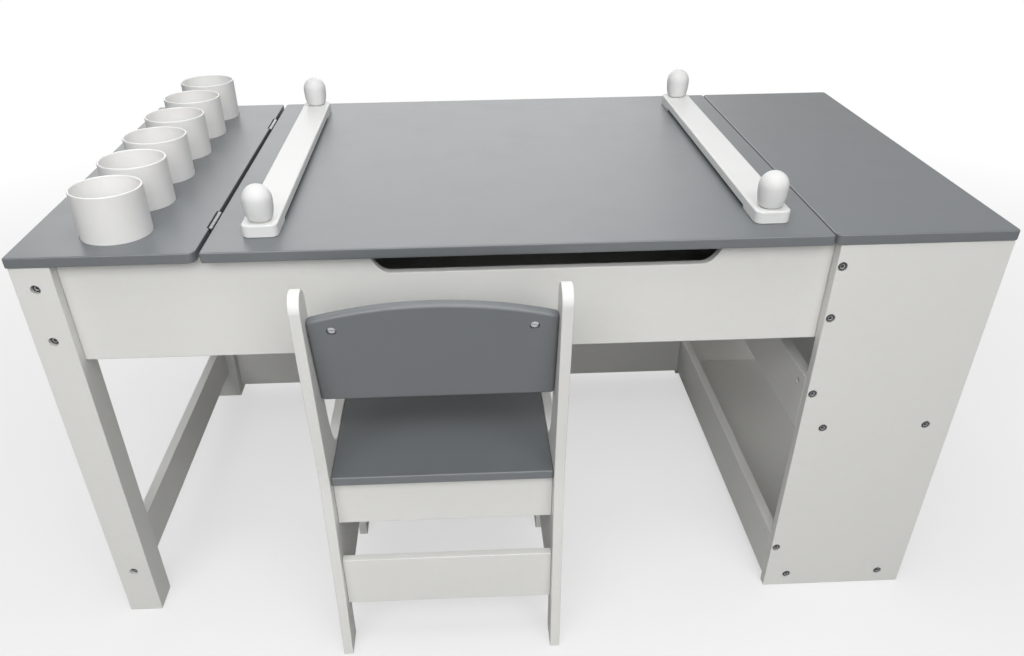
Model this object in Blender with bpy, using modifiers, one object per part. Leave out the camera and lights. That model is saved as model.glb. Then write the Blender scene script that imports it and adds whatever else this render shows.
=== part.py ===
"""Kids activity desk with a flip up lid, two paper rails, six cups and a matching chair.

Lengths are in metres and +Z is up. Positions are worked out from the desk's front left corner
at floor level, with x to the right and y to the back, and at() moves them to the object's own
frame: the middle of the footprint of desk and chair together, on the floor.
"""

import math

import bmesh
import bpy
from mathutils import Matrix

# Overall sizes of the desk
DESK_LENGTH = 1.203
DESK_DEPTH = 0.679
DESK_HEIGHT = 0.575
TOP_THICKNESS = 0.013
BOARD = 0.015
THIN_BOARD = 0.012
BASE_INSET = 0.002
GAP = 0.0003
EDGE = 0.001

# The three panels of the top, from left to right
CUP_PANEL_WIDTH = 0.221
HINGE_GAP = 0.0055
LID_GAP = 0.0015
RIGHT_PANEL_WIDTH = 0.2233
CORNER_RADIUS = 0.011
RIGHT_PANEL_CORNER = 0.005
LID_FRONT_CORNER = 0.0025
LID_BACK_CORNER = 0.005
SHARP_CORNER = 0.002

# Frame of the desk
POST = 0.048
APRON_HEIGHT = 0.132
APRON_SETBACK = 0.016
STORAGE_FLOOR_THICKNESS = 0.009
STRETCHER_HEIGHT = 0.068
STRETCHER_FLOOR_GAP = 0.055

# Finger slot in the top edge of the front apron
SLOT_MIDDLE = 0.636
SLOT_LENGTH = 0.432
SLOT_DEPTH = 0.0257
SLOT_END = 0.014

# Cabinet at the right
CABINET_WIDTH = 0.213
BACK_RAIL_HEIGHT = 0.080
BOTTOM_SHELF_FLOOR_GAP = 0.015
MID_SHELF_FLOOR_GAP = 0.289

# Cups, each standing in a shallow recess
CUP_COUNT = 6
CUP_RADIUS = 0.0431
CUP_HEIGHT = 0.0594
CUP_WALL = 0.0025
CUP_ROW = 0.1105
CUP_FIRST = 0.0743
CUP_PITCH = 0.1079
CUP_RECESS = 0.003
CUP_CLEARANCE = 0.0005

# Paper rails and their egg shaped knobs
PAPER_RAIL_LENGTH = 0.588
PAPER_RAIL_WIDTH = 0.044
PAPER_RAIL_THICKNESS = 0.015
PAPER_RAIL_INSET = 0.0638
PAPER_RAIL_FORWARD = 0.0035
PAPER_RAIL_FOOT = 0.055
PAPER_RAIL_CORNER = 0.010
PAPER_GAP = 0.0045
KNOB_INSET = 0.020
KNOB_RADIUS = 0.0185
KNOB_HEIGHT = 0.043
KNOB_BASE = 0.0125
STUD_RADIUS = 0.003
STUD_HOLE = 0.0034
STUD_BELOW_LID = 0.006

# Two butt hinges in the gap between cup panel and lid
HINGE_LENGTH = 0.058
HINGE_FRONT = 0.109
HINGE_BACK = 0.553
HINGE_BARREL = 0.0031
HINGE_DROP = 0.0035
HINGE_SHIFT = 0.0005
LEAF_THICKNESS = 0.0012
LEAF_WIDTH = 0.022
PIN_RADIUS = 0.0013
KNUCKLE_COUNT = 5

# Hex socket bolts
BOLT_HEAD = 0.0052
BOLT_SHANK = 0.003
BOLT_HOLE = 0.0033
BOLT_REACH = 0.028
BOLT_UPPER = 0.028
BOLT_LOWER = 0.0975
PANEL_RECESS = 0.0037
PANEL_HEAD = 0.0028
POST_RECESS = 0.009
POST_HEAD = 0.004
RECESS_RADIUS = 0.0060
NUT_HOLE = 0.0045
NUT_SETBACK = 0.023
NUT_HOLE_DEPTH = 0.011
RAIL_BOLT_DROP = 0.0165
SHELF_BOLT_INSET = 0.018

# Chair
CHAIR_LEFT = 0.3409
CHAIR_WIDTH = 0.3137
CHAIR_BOARD = 0.0134
CHAIR_SIDE_DEPTH = 0.311
CHAIR_STANDS_OUT = 0.106
CHAIR_HEIGHT = 0.5635
CHAIR_ARM_HEIGHT = 0.302
CHAIR_POST_TOP = 0.042
CHAIR_POST_ROOT = 0.070
CHAIR_POST_BEND_HEIGHT = 0.083
CHAIR_ARM_START = 0.122
CHAIR_ARM_CORNER = 0.020
CHAIR_ARCH_RADIUS = 0.030
CHAIR_FOOT = 0.044
CHAIR_ARCH = 0.080
CHAIR_WAIST = 0.020
CHAIR_WAIST_HEIGHT = 0.300
CHAIR_WAIST_CURVE = 0.030
SEAT_HEIGHT = 0.301
SEAT_THICKNESS = 0.013
SEAT_INSET = 0.026
CHAIR_RAIL_HEIGHT = 0.070
CHAIR_RAIL_INSET = 0.037
CHAIR_STRETCHER_INSET = 0.021
CHAIR_STRETCHER_HEIGHT = 0.080
CHAIR_STRETCHER_FLOOR_GAP = 0.0835
BACKREST_BOTTOM = 0.4055
BACKREST_SIDE_HEIGHT = 0.1235
BACKREST_CROWN = 0.020
BACKREST_TILT = 14.0
BACKREST_INSET = 0.046
NUT_RADIUS = 0.005
NUT_LENGTH = 0.010
NUT_SIDE_INSET = 0.0279
NUT_BELOW_TOP = 0.0125

# Values that follow from the sizes above
UNDER_TOP = DESK_HEIGHT - TOP_THICKNESS
BASE_TOP = UNDER_TOP - GAP
LID_LEFT = CUP_PANEL_WIDTH + HINGE_GAP
RIGHT_PANEL_LEFT = DESK_LENGTH - RIGHT_PANEL_WIDTH
LID_RIGHT = RIGHT_PANEL_LEFT - LID_GAP
LID_LENGTH = LID_RIGHT - LID_LEFT
POST_RIGHT = BASE_INSET + POST
REAR_POST_FRONT = DESK_DEPTH - BASE_INSET - POST
CABINET_RIGHT = DESK_LENGTH - BASE_INSET
CABINET_LEFT = CABINET_RIGHT - CABINET_WIDTH
PANEL_BACK = BASE_INSET + BOARD
REAR_PANEL_FRONT = DESK_DEPTH - PANEL_BACK
APRON_FRONT = BASE_INSET + APRON_SETBACK
APRON_BACK = APRON_FRONT + THIN_BOARD
APRON_FLOOR_GAP = BASE_TOP - APRON_HEIGHT
SIDE_BOARD_LEFT = BASE_INSET + POST / 2 - BOARD / 2
SIDE_BOARD_RIGHT = SIDE_BOARD_LEFT + BOARD
HINGE_X = CUP_PANEL_WIDTH + HINGE_SHIFT
HINGE_Z = DESK_HEIGHT - HINGE_DROP
PAPER_RAIL_MIDDLE = DESK_DEPTH / 2 - PAPER_RAIL_FORWARD
PAPER_RAIL_FRONT = PAPER_RAIL_MIDDLE - PAPER_RAIL_LENGTH / 2
CHAIR_REAR = -CHAIR_STANDS_OUT
CHAIR_INNER_LEFT = CHAIR_LEFT + CHAIR_BOARD
CHAIR_RIGHT = CHAIR_LEFT + CHAIR_WIDTH
CHAIR_INNER_RIGHT = CHAIR_RIGHT - CHAIR_BOARD
MIDDLE_X = DESK_LENGTH / 2
MIDDLE_Y = (DESK_DEPTH - CHAIR_STANDS_OUT) / 2


def at(x, y, z=0.0):
    """A point measured from the desk's front left corner, in the object's frame."""
    return (x - MIDDLE_X, y - MIDDLE_Y, z)


def clear_scene():
    for item in list(bpy.data.objects):
        bpy.data.objects.remove(item)


def new_collection(name):
    group = bpy.data.collections.new(name)
    bpy.context.scene.collection.children.link(group)
    return group


clear_scene()
PIECES = new_collection("kids_activity_desk")
CUTTERS = new_collection("cutters")


def new_material(name, colour, roughness, metallic=0.0):
    material = bpy.data.materials.new(name)
    material.use_nodes = True
    shader = material.node_tree.nodes["Principled BSDF"]
    shader.inputs["Base Color"].default_value = (*colour, 1.0)
    shader.inputs["Roughness"].default_value = roughness
    shader.inputs["Metallic"].default_value = metallic
    material.diffuse_color = (*colour, 1.0)
    return material


GREY_PAINT = new_material("grey_paint", (0.22, 0.23, 0.24), 0.42)
WHITE_PAINT = new_material("white_paint", (0.76, 0.755, 0.735), 0.45)
CUP_PLASTIC = new_material("cup_plastic", (0.83, 0.82, 0.81), 0.22)
RAIL_PAINT = new_material("rail_paint", (0.86, 0.86, 0.84), 0.28)
DARK_STEEL = new_material("dark_zinc_steel", (0.17, 0.17, 0.18), 0.38, 0.9)
BRIGHT_STEEL = new_material("bright_steel", (0.62, 0.62, 0.63), 0.28, 1.0)


def place(name, mesh, location, material, rotation=(0.0, 0.0, 0.0)):
    """A finished piece with its own copy of the material."""
    own = material.copy()
    own.name = name + "_finish"
    mesh.materials.clear()
    mesh.materials.append(own)
    piece = bpy.data.objects.new(name, mesh)
    piece.location = location
    piece.rotation_euler = rotation
    PIECES.objects.link(piece)
    return piece


def place_cutter(name, mesh, location, rotation=(0.0, 0.0, 0.0)):
    cutter = bpy.data.objects.new(name, mesh)
    cutter.location = location
    cutter.rotation_euler = rotation
    cutter.hide_render = True
    cutter.display_type = "WIRE"
    CUTTERS.objects.link(cutter)
    return cutter


def box_mesh(name, size):
    shape = bmesh.new()
    bmesh.ops.create_cube(shape, size=1.0)
    bmesh.ops.scale(shape, vec=size, verts=shape.verts)
    mesh = bpy.data.meshes.new(name)
    shape.to_mesh(mesh)
    shape.free()
    return mesh


def cylinder_mesh(name, radius, length, sides=16):
    shape = bmesh.new()
    bmesh.ops.create_cone(shape, cap_ends=True, segments=sides, radius1=radius, radius2=radius, depth=length)
    mesh = bpy.data.meshes.new(name)
    shape.to_mesh(mesh)
    shape.free()
    return mesh


def lathe_mesh(name, profile):
    """A profile of (radius, height) points, joined by edges, for a Screw about Z."""
    mesh = bpy.data.meshes.new(name)
    points = [(radius, 0.0, height) for radius, height in profile]
    mesh.from_pydata(points, [(i, i + 1) for i in range(len(points) - 1)], [])
    return mesh


def turn(piece, steps):
    screw = piece.modifiers.new("turned", "SCREW")
    screw.steps = steps
    screw.render_steps = steps
    screw.use_merge_vertices = True
    screw.merge_threshold = 0.00001
    screw.use_smooth_shade = True
    return piece


def ease_edges(piece, width=EDGE, segments=1):
    bevel = piece.modifiers.new("eased edges", "BEVEL")
    bevel.width = width
    bevel.segments = segments
    bevel.limit_method = "ANGLE"
    bevel.angle_limit = math.radians(40)
    return piece


def cut(piece, cutter):
    hole = piece.modifiers.new("cut " + cutter.name, "BOOLEAN")
    hole.operation = "DIFFERENCE"
    hole.object = cutter
    return piece


def join(piece, other):
    union = piece.modifiers.new("join " + other.name, "BOOLEAN")
    union.operation = "UNION"
    union.object = other
    return piece


def board(name, low, high, material, edge=EDGE):
    """A rectangular board between two corners, each given from the desk's corner."""
    size = [b - a for a, b in zip(low, high)]
    centre = at(*[(a + b) / 2 for a, b in zip(low, high)])
    piece = place(name, box_mesh(name, size), centre, material)
    return ease_edges(piece, edge) if edge else piece


def box_cutter(name, low, high):
    size = [b - a for a, b in zip(low, high)]
    centre = at(*[(a + b) / 2 for a, b in zip(low, high)])
    return place_cutter(name, box_mesh(name, size), centre)


def outline_mesh(name, points, thickness):
    """A closed flat outline given a thickness, as one welded mesh."""
    curve = bpy.data.curves.new(name, "CURVE")
    curve.dimensions = "2D"
    curve.fill_mode = "BOTH"
    curve.extrude = thickness / 2
    spline = curve.splines.new("POLY")
    spline.points.add(len(points) - 1)
    for point, (u, v) in zip(spline.points, points):
        point.co = (u, v, 0.0, 1.0)
    spline.use_cyclic_u = True
    guide = bpy.data.objects.new(name, curve)
    PIECES.objects.link(guide)
    bpy.context.view_layer.update()
    graph = bpy.context.evaluated_depsgraph_get()
    mesh = bpy.data.meshes.new_from_object(guide.evaluated_get(graph))
    bpy.data.objects.remove(guide)
    shape = bmesh.new()
    shape.from_mesh(mesh)
    bmesh.ops.remove_doubles(shape, verts=shape.verts, dist=0.00001)
    bmesh.ops.recalc_face_normals(shape, faces=shape.faces)
    shape.to_mesh(mesh)
    shape.free()
    return mesh


def arc(u, v, radius, start, end, steps):
    """Points on an arc about (u, v), with both angles in degrees."""
    points = []
    for i in range(steps + 1):
        angle = math.radians(start + (end - start) * i / steps)
        points.append((u + radius * math.cos(angle), v + radius * math.sin(angle)))
    return points


def rounded_rectangle(width, depth, radii, steps=4):
    """Centred on the origin. The radii are for the corners front left, front right, back right, back left."""
    half_u = width / 2
    half_v = depth / 2
    corners = ((-1, -1, 180), (1, -1, 270), (1, 1, 0), (-1, 1, 90))
    points = []
    for (side_u, side_v, start), radius in zip(corners, radii):
        if radius:
            u = side_u * (half_u - radius)
            v = side_v * (half_v - radius)
            points += arc(u, v, radius, start, start + 90, steps)
        else:
            points.append((side_u * half_u, side_v * half_v))
    return points


def slope_between(start, end, bend, steps):
    """A smooth curve from start to end that leaves towards the point bend and arrives from it."""
    points = []
    for i in range(steps + 1):
        t = i / steps
        u = (1 - t) ** 2 * start[0] + 2 * t * (1 - t) * bend[0] + t**2 * end[0]
        v = (1 - t) ** 2 * start[1] + 2 * t * (1 - t) * bend[1] + t**2 * end[1]
        points.append((u, v))
    return points


# Turns that stand an outline up: facing the front, or facing the right side
FACING_FRONT = (math.radians(90), 0.0, 0.0)
FACING_RIGHT = (math.radians(90), 0.0, math.radians(90))
AXIS_TO_FRONT = (math.radians(90), 0.0, 0.0)
AXIS_TO_LEFT = (0.0, math.radians(-90), 0.0)


def bolt(name, x, z, face, recess, head, grip, near, far):
    """A hex socket bolt set into the front face at y = face, through near and into the end of far.

    grip is the thickness that it passes through before it reaches far.
    """
    length = grip + BOLT_REACH
    above = 0.002
    bottom = -length - 0.006
    profile = [
        (0.0, above),
        (RECESS_RADIUS, above),
        (RECESS_RADIUS, -recess),
        (BOLT_HOLE, -recess),
        (BOLT_HOLE, bottom),
        (0.0, bottom),
    ]
    cutter = place_cutter(name + "_hole", lathe_mesh(name + "_hole", profile), at(x, face, z), AXIS_TO_FRONT)
    turn(cutter, 16)
    cut(near, cutter)
    cut(far, cutter)
    top = -recess + GAP + head
    rim = 0.0007
    profile = [
        (0.0, top),
        (BOLT_HEAD - rim, top),
        (BOLT_HEAD, top - rim),
        (BOLT_HEAD, top - head),
        (BOLT_SHANK, top - head),
        (BOLT_SHANK, -length),
        (0.0, -length),
    ]
    piece = place(name, lathe_mesh(name, profile), at(x, face, z), DARK_STEEL, AXIS_TO_FRONT)
    turn(piece, 16)
    socket = cylinder_mesh(name + "_socket", 0.0024, head, 6)
    cut(piece, place_cutter(name + "_socket", socket, at(x, face - top + 0.0003, z), AXIS_TO_FRONT))
    return piece


def nut_hole(name, piece, y, z):
    """A round hole for a cross nut, bored into the left face of a back rail."""
    shape = cylinder_mesh(name, NUT_HOLE, 2 * NUT_HOLE_DEPTH, 16)
    cut(piece, place_cutter(name, shape, at(CABINET_LEFT, y, z), AXIS_TO_LEFT))


# The fixed panel at the left, with recesses for the cups and notches for the hinge barrels
radii = (SHARP_CORNER, CORNER_RADIUS, SHARP_CORNER, SHARP_CORNER)
outline = rounded_rectangle(CUP_PANEL_WIDTH, DESK_DEPTH, radii)
cup_panel = place(
    "cup_panel",
    outline_mesh("cup_panel", outline, TOP_THICKNESS),
    at(CUP_PANEL_WIDTH / 2, DESK_DEPTH / 2, UNDER_TOP + TOP_THICKNESS / 2),
    GREY_PAINT,
)
ease_edges(cup_panel)
for hinge_y, end in ((HINGE_FRONT, "front"), (HINGE_BACK, "back")):
    low = (HINGE_X - HINGE_BARREL - 0.0004, hinge_y - HINGE_LENGTH / 2 - 0.001, UNDER_TOP - 0.004)
    high = (CUP_PANEL_WIDTH + 0.004, hinge_y + HINGE_LENGTH / 2 + 0.001, DESK_HEIGHT + 0.004)
    cut(cup_panel, box_cutter("hinge_notch_" + end, low, high))

# The six cups
outer = CUP_RADIUS
inner = CUP_RADIUS - CUP_WALL
profile = [
    (0.0, CUP_WALL),
    (inner - 0.003, CUP_WALL),
    (inner, CUP_WALL + 0.003),
    (inner, CUP_HEIGHT - 0.0006),
    (inner + CUP_WALL / 2, CUP_HEIGHT),
    (outer, CUP_HEIGHT - 0.0006),
    (outer, 0.003),
    (outer - 0.002, 0.0),
    (0.0, 0.0),
]
for number in range(CUP_COUNT):
    y = CUP_FIRST + number * CUP_PITCH
    base = at(CUP_ROW, y, DESK_HEIGHT - CUP_RECESS + GAP)
    name = f"cup_{number + 1}"
    turn(place(name, lathe_mesh(name, profile), base, CUP_PLASTIC), 28)
    recess = cylinder_mesh(name + "_recess", CUP_RADIUS + CUP_CLEARANCE, 2 * CUP_RECESS, 28)
    cut(cup_panel, place_cutter(name + "_recess", recess, at(CUP_ROW, y, DESK_HEIGHT)))

# The lid and the fixed panel at the right
radii = (LID_FRONT_CORNER, LID_FRONT_CORNER, LID_BACK_CORNER, LID_BACK_CORNER)
outline = rounded_rectangle(LID_LENGTH, DESK_DEPTH, radii, 2)
lid_panel = place(
    "lid_panel",
    outline_mesh("lid_panel", outline, TOP_THICKNESS),
    at(LID_LEFT + LID_LENGTH / 2, DESK_DEPTH / 2, UNDER_TOP + TOP_THICKNESS / 2),
    GREY_PAINT,
)
ease_edges(lid_panel)
radii = (CORNER_RADIUS, RIGHT_PANEL_CORNER, RIGHT_PANEL_CORNER, RIGHT_PANEL_CORNER)
outline = rounded_rectangle(RIGHT_PANEL_WIDTH, DESK_DEPTH, radii, 3)
right_top_panel = place(
    "right_top_panel",
    outline_mesh("right_top_panel", outline, TOP_THICKNESS),
    at(RIGHT_PANEL_LEFT + RIGHT_PANEL_WIDTH / 2, DESK_DEPTH / 2, UNDER_TOP + TOP_THICKNESS / 2),
    GREY_PAINT,
)
ease_edges(right_top_panel)

# Posts, aprons and the floor of the storage box under the lid
post_front = board(
    "post_front_left", (BASE_INSET, BASE_INSET, 0.0), (POST_RIGHT, BASE_INSET + POST, BASE_TOP), WHITE_PAINT
)
post_back = board(
    "post_back_left",
    (BASE_INSET, REAR_POST_FRONT, 0.0),
    (POST_RIGHT, REAR_POST_FRONT + POST, BASE_TOP),
    WHITE_PAINT,
)
post_back_of_front = BASE_INSET + POST
side_apron = board(
    "side_apron",
    (SIDE_BOARD_LEFT, post_back_of_front + GAP, APRON_FLOOR_GAP),
    (SIDE_BOARD_RIGHT, REAR_POST_FRONT - GAP, BASE_TOP),
    WHITE_PAINT,
)
front_apron = board(
    "front_apron",
    (POST_RIGHT + GAP, APRON_FRONT, APRON_FLOOR_GAP),
    (CABINET_LEFT - GAP, APRON_BACK, BASE_TOP),
    WHITE_PAINT,
)
board(
    "back_apron",
    (POST_RIGHT + GAP, DESK_DEPTH - APRON_BACK, APRON_FLOOR_GAP),
    (CABINET_LEFT - GAP, DESK_DEPTH - APRON_FRONT, BASE_TOP),
    WHITE_PAINT,
)
storage_floor = board(
    "storage_floor",
    (SIDE_BOARD_RIGHT + GAP, APRON_BACK + GAP, APRON_FLOOR_GAP),
    (CABINET_LEFT - GAP, DESK_DEPTH - APRON_BACK - GAP, APRON_FLOOR_GAP + STORAGE_FLOOR_THICKNESS),
    WHITE_PAINT,
    edge=0,
)
low = (0.0, 0.0, APRON_FLOOR_GAP - 0.01)
high = (POST_RIGHT + GAP, post_back_of_front + GAP, APRON_FLOOR_GAP + 0.03)
cut(storage_floor, box_cutter("floor_notch_front", low, high))
low = (0.0, REAR_POST_FRONT - GAP, APRON_FLOOR_GAP - 0.01)
high = (POST_RIGHT + GAP, DESK_DEPTH, APRON_FLOOR_GAP + 0.03)
cut(storage_floor, box_cutter("floor_notch_back", low, high))

# The finger slot, with sloping rounded ends
half = SLOT_LENGTH / 2
flat_from = (-half + SLOT_END * 1.8, -SLOT_DEPTH)
slope = slope_between((-half, 0.0), flat_from, (-half + SLOT_END * 0.8, -SLOT_DEPTH), 5)
slot = [(-half, 0.01)] + slope
slot += [(-u, v) for u, v in reversed(slot)]
slot_shape = outline_mesh("finger_slot", slot, 4 * THIN_BOARD)
slot_place = at(SLOT_MIDDLE, APRON_FRONT, BASE_TOP)
cut(front_apron, place_cutter("finger_slot", slot_shape, slot_place, FACING_FRONT))

# Low boards that hold the legs together
left_stretcher = board(
    "left_stretcher",
    (SIDE_BOARD_LEFT, post_back_of_front + GAP, STRETCHER_FLOOR_GAP),
    (SIDE_BOARD_RIGHT, REAR_POST_FRONT - GAP, STRETCHER_FLOOR_GAP + STRETCHER_HEIGHT),
    WHITE_PAINT,
)
board(
    "back_stretcher",
    (POST_RIGHT + GAP, DESK_DEPTH - APRON_BACK, BOTTOM_SHELF_FLOOR_GAP),
    (CABINET_LEFT - GAP, DESK_DEPTH - APRON_FRONT, BOTTOM_SHELF_FLOOR_GAP + BACK_RAIL_HEIGHT),
    WHITE_PAINT,
)

# The cabinet: two upright panels with rails, shelves and the wall of the storage box between them
cabinet_front = board(
    "cabinet_front_panel",
    (CABINET_LEFT, BASE_INSET, 0.0),
    (CABINET_RIGHT, PANEL_BACK, BASE_TOP),
    WHITE_PAINT,
)
board(
    "cabinet_back_panel",
    (CABINET_LEFT, REAR_PANEL_FRONT, 0.0),
    (CABINET_RIGHT, DESK_DEPTH - BASE_INSET, BASE_TOP),
    WHITE_PAINT,
)
between_front = PANEL_BACK + GAP
between_back = REAR_PANEL_FRONT - GAP
wall_right = CABINET_LEFT + BOARD
box_wall = board(
    "box_right_wall",
    (CABINET_LEFT, between_front, APRON_FLOOR_GAP),
    (wall_right, between_back, BASE_TOP),
    WHITE_PAINT,
)
mid_rail = board(
    "mid_rail",
    (CABINET_LEFT, between_front, MID_SHELF_FLOOR_GAP),
    (wall_right, between_back, MID_SHELF_FLOOR_GAP + BACK_RAIL_HEIGHT),
    WHITE_PAINT,
)
bottom_rail = board(
    "bottom_rail",
    (CABINET_LEFT, between_front, BOTTOM_SHELF_FLOOR_GAP),
    (wall_right, between_back, BOTTOM_SHELF_FLOOR_GAP + BACK_RAIL_HEIGHT),
    WHITE_PAINT,
)
mid_shelf = board(
    "mid_shelf",
    (wall_right + GAP, between_front, MID_SHELF_FLOOR_GAP),
    (CABINET_RIGHT, between_back, MID_SHELF_FLOOR_GAP + BOARD),
    WHITE_PAINT,
)
bottom_shelf = board(
    "bottom_shelf",
    (wall_right + GAP, between_front, BOTTOM_SHELF_FLOOR_GAP),
    (CABINET_RIGHT, between_back, BOTTOM_SHELF_FLOOR_GAP + BOARD),
    WHITE_PAINT,
)

# Bolts through the front post and through the cabinet's front panel
post_middle = BASE_INSET + POST / 2
upper_z = UNDER_TOP - BOLT_UPPER
lower_z = UNDER_TOP - BOLT_LOWER
stretcher_z = STRETCHER_FLOOR_GAP + 0.024
for name, z, far in (
    ("post_bolt_upper", upper_z, side_apron),
    ("post_bolt_middle", lower_z, side_apron),
    ("post_bolt_lower", stretcher_z, left_stretcher),
):
    bolt(name, post_middle, z, BASE_INSET, POST_RECESS, POST_HEAD, POST, post_front, far)
rail_middle = CABINET_LEFT + BOARD / 2
mid_rail_z = MID_SHELF_FLOOR_GAP + BACK_RAIL_HEIGHT - RAIL_BOLT_DROP
bottom_rail_z = BOTTOM_SHELF_FLOOR_GAP + BACK_RAIL_HEIGHT - RAIL_BOLT_DROP
shelf_left = wall_right + SHELF_BOLT_INSET
shelf_right = CABINET_RIGHT - 2 * SHELF_BOLT_INSET
for name, x, z, far in (
    ("panel_bolt_wall_upper", rail_middle, upper_z, box_wall),
    ("panel_bolt_wall_lower", rail_middle, lower_z, box_wall),
    ("panel_bolt_mid_rail", rail_middle, mid_rail_z, mid_rail),
    ("panel_bolt_mid_shelf_left", shelf_left, MID_SHELF_FLOOR_GAP + BOARD / 2, mid_shelf),
    ("panel_bolt_mid_shelf_right", shelf_right, MID_SHELF_FLOOR_GAP + BOARD / 2, mid_shelf),
    ("panel_bolt_bottom_rail", rail_middle, bottom_rail_z, bottom_rail),
    ("panel_bolt_bottom_shelf_left", shelf_left, BOTTOM_SHELF_FLOOR_GAP + BOARD / 2, bottom_shelf),
    ("panel_bolt_bottom_shelf_right", shelf_right, BOTTOM_SHELF_FLOOR_GAP + BOARD / 2, bottom_shelf),
):
    bolt(name, x, z, BASE_INSET, PANEL_RECESS, PANEL_HEAD, BOARD, cabinet_front, far)
nut_hole("mid_rail_nut_hole", mid_rail, PANEL_BACK + NUT_SETBACK, mid_rail_z)
nut_hole("bottom_rail_nut_hole", bottom_rail, PANEL_BACK + NUT_SETBACK, bottom_rail_z)


def hinge_leaf(name, y, side, own):
    """One leaf of a butt hinge. side is -1 for the cup panel's leaf and +1 for the lid's.

    The leaf hangs from its knuckles into the gap and turns outwards under its panel.
    """
    foot = UNDER_TOP - GAP - HINGE_Z
    clear = HINGE_BARREL + 0.0005
    inside = HINGE_BARREL - LEAF_THICKNESS
    section = [
        (side * inside, -clear),
        (side * HINGE_BARREL, -clear),
        (side * HINGE_BARREL, foot),
        (side * (HINGE_BARREL + LEAF_WIDTH), foot),
        (side * (HINGE_BARREL + LEAF_WIDTH), foot - LEAF_THICKNESS),
        (side * inside, foot - LEAF_THICKNESS),
    ]
    location = at(HINGE_X, y, HINGE_Z)
    leaf = place(name, outline_mesh(name, section, HINGE_LENGTH), location, BRIGHT_STEEL, FACING_FRONT)
    pitch = HINGE_LENGTH / KNUCKLE_COUNT
    barrel = arc(0.0, 0.0, HINGE_BARREL, 0, 360, 16)[:-1]
    tab_low = inside + 0.00005
    tab_high = HINGE_BARREL - 0.00005
    tab = [(side * tab_low, -clear - 0.0008), (side * tab_high, -clear - 0.0008)]
    tab += [(side * tab_high, -0.0002), (side * tab_low, -0.0002)]
    for number in own:
        middle = y - HINGE_LENGTH / 2 + pitch * (number + 0.5)
        for kind, shape in (("knuckle", barrel), ("tab", tab)):
            part = f"{name}_{kind}_{number}"
            long = pitch - 2 * GAP
            solid = outline_mesh(part, shape, long if kind == "knuckle" else long - 0.0004)
            join(leaf, place_cutter(part, solid, at(HINGE_X, middle, HINGE_Z), FACING_FRONT))
    bore = cylinder_mesh(name + "_bore", PIN_RADIUS + GAP, HINGE_LENGTH + 0.004, 12)
    cut(leaf, place_cutter(name + "_bore", bore, location, AXIS_TO_FRONT))
    return leaf


lid_leaves = []
for hinge_y, end in ((HINGE_FRONT, "front"), (HINGE_BACK, "back")):
    hinge_leaf("hinge_leaf_fixed_" + end, hinge_y, -1, (0, 2, 4))
    lid_leaves.append(hinge_leaf("hinge_leaf_lid_" + end, hinge_y, 1, (1, 3)))
    pin = cylinder_mesh("hinge_pin_" + end, PIN_RADIUS, HINGE_LENGTH, 12)
    place("hinge_pin_" + end, pin, at(HINGE_X, hinge_y, HINGE_Z), BRIGHT_STEEL, AXIS_TO_FRONT)

# Paper rails with a shallow gap between their feet, and the knobs that hold them down
paper_rails = {}
for side, x in (("left", LID_LEFT + PAPER_RAIL_INSET), ("right", LID_RIGHT - PAPER_RAIL_INSET)):
    name = "paper_rail_" + side
    radius = PAPER_RAIL_CORNER
    outline = rounded_rectangle(PAPER_RAIL_WIDTH, PAPER_RAIL_LENGTH, (radius, radius, radius, radius), 3)
    rail_z = DESK_HEIGHT + GAP
    rail = place(
        name,
        outline_mesh(name, outline, PAPER_RAIL_THICKNESS),
        at(x, PAPER_RAIL_MIDDLE, rail_z + PAPER_RAIL_THICKNESS / 2),
        RAIL_PAINT,
    )
    ease_edges(rail, 0.0015)
    low = (x - PAPER_RAIL_WIDTH, PAPER_RAIL_FRONT + PAPER_RAIL_FOOT, rail_z - 0.01)
    gap_end = PAPER_RAIL_FRONT + PAPER_RAIL_LENGTH - PAPER_RAIL_FOOT
    high = (x + PAPER_RAIL_WIDTH, gap_end, rail_z + PAPER_GAP)
    cut(rail, box_cutter(name + "_paper_gap", low, high))
    paper_rails[side] = (x, rail)
    for end, y in (
        ("front", PAPER_RAIL_FRONT + KNOB_INSET),
        ("back", PAPER_RAIL_FRONT + PAPER_RAIL_LENGTH - KNOB_INSET),
    ):
        hole_name = f"stud_hole_{side}_{end}"
        hole = place_cutter(hole_name, cylinder_mesh(hole_name, STUD_HOLE, 0.08, 12), at(x, y, DESK_HEIGHT))
        cut(rail, hole)
        cut(lid_panel, hole)

# Egg shaped knob: a flat base, widest above the middle, on a threaded stud
knob_z = DESK_HEIGHT + PAPER_RAIL_THICKNESS + 2 * GAP
stud_end = -(PAPER_RAIL_THICKNESS + 2 * GAP + TOP_THICKNESS + STUD_BELOW_LID)
widest = 0.58 * KNOB_HEIGHT
profile = [(0.0, KNOB_HEIGHT)]
for angle in (70, 50, 30, 10):
    turn_angle = math.radians(angle)
    rise = (KNOB_HEIGHT - widest) * math.sin(turn_angle)
    profile.append((KNOB_RADIUS * math.cos(turn_angle), widest + rise))
for share in (0.75, 0.45, 0.2, 0.0):
    fall = 1 - share
    radius = KNOB_BASE + (KNOB_RADIUS - KNOB_BASE) * math.sqrt(1 - fall**2.2)
    profile.append((radius, widest * share))
profile += [(STUD_RADIUS, 0.0), (STUD_RADIUS, stud_end), (0.0, stud_end)]
knobs = {}
for side in paper_rails:
    x = paper_rails[side][0]
    for end, y in (
        ("front", PAPER_RAIL_FRONT + KNOB_INSET),
        ("back", PAPER_RAIL_FRONT + PAPER_RAIL_LENGTH - KNOB_INSET),
    ):
        name = f"knob_{side}_{end}"
        knobs[name] = turn(place(name, lathe_mesh(name, profile), at(x, y, knob_z), RAIL_PAINT), 20)

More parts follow.
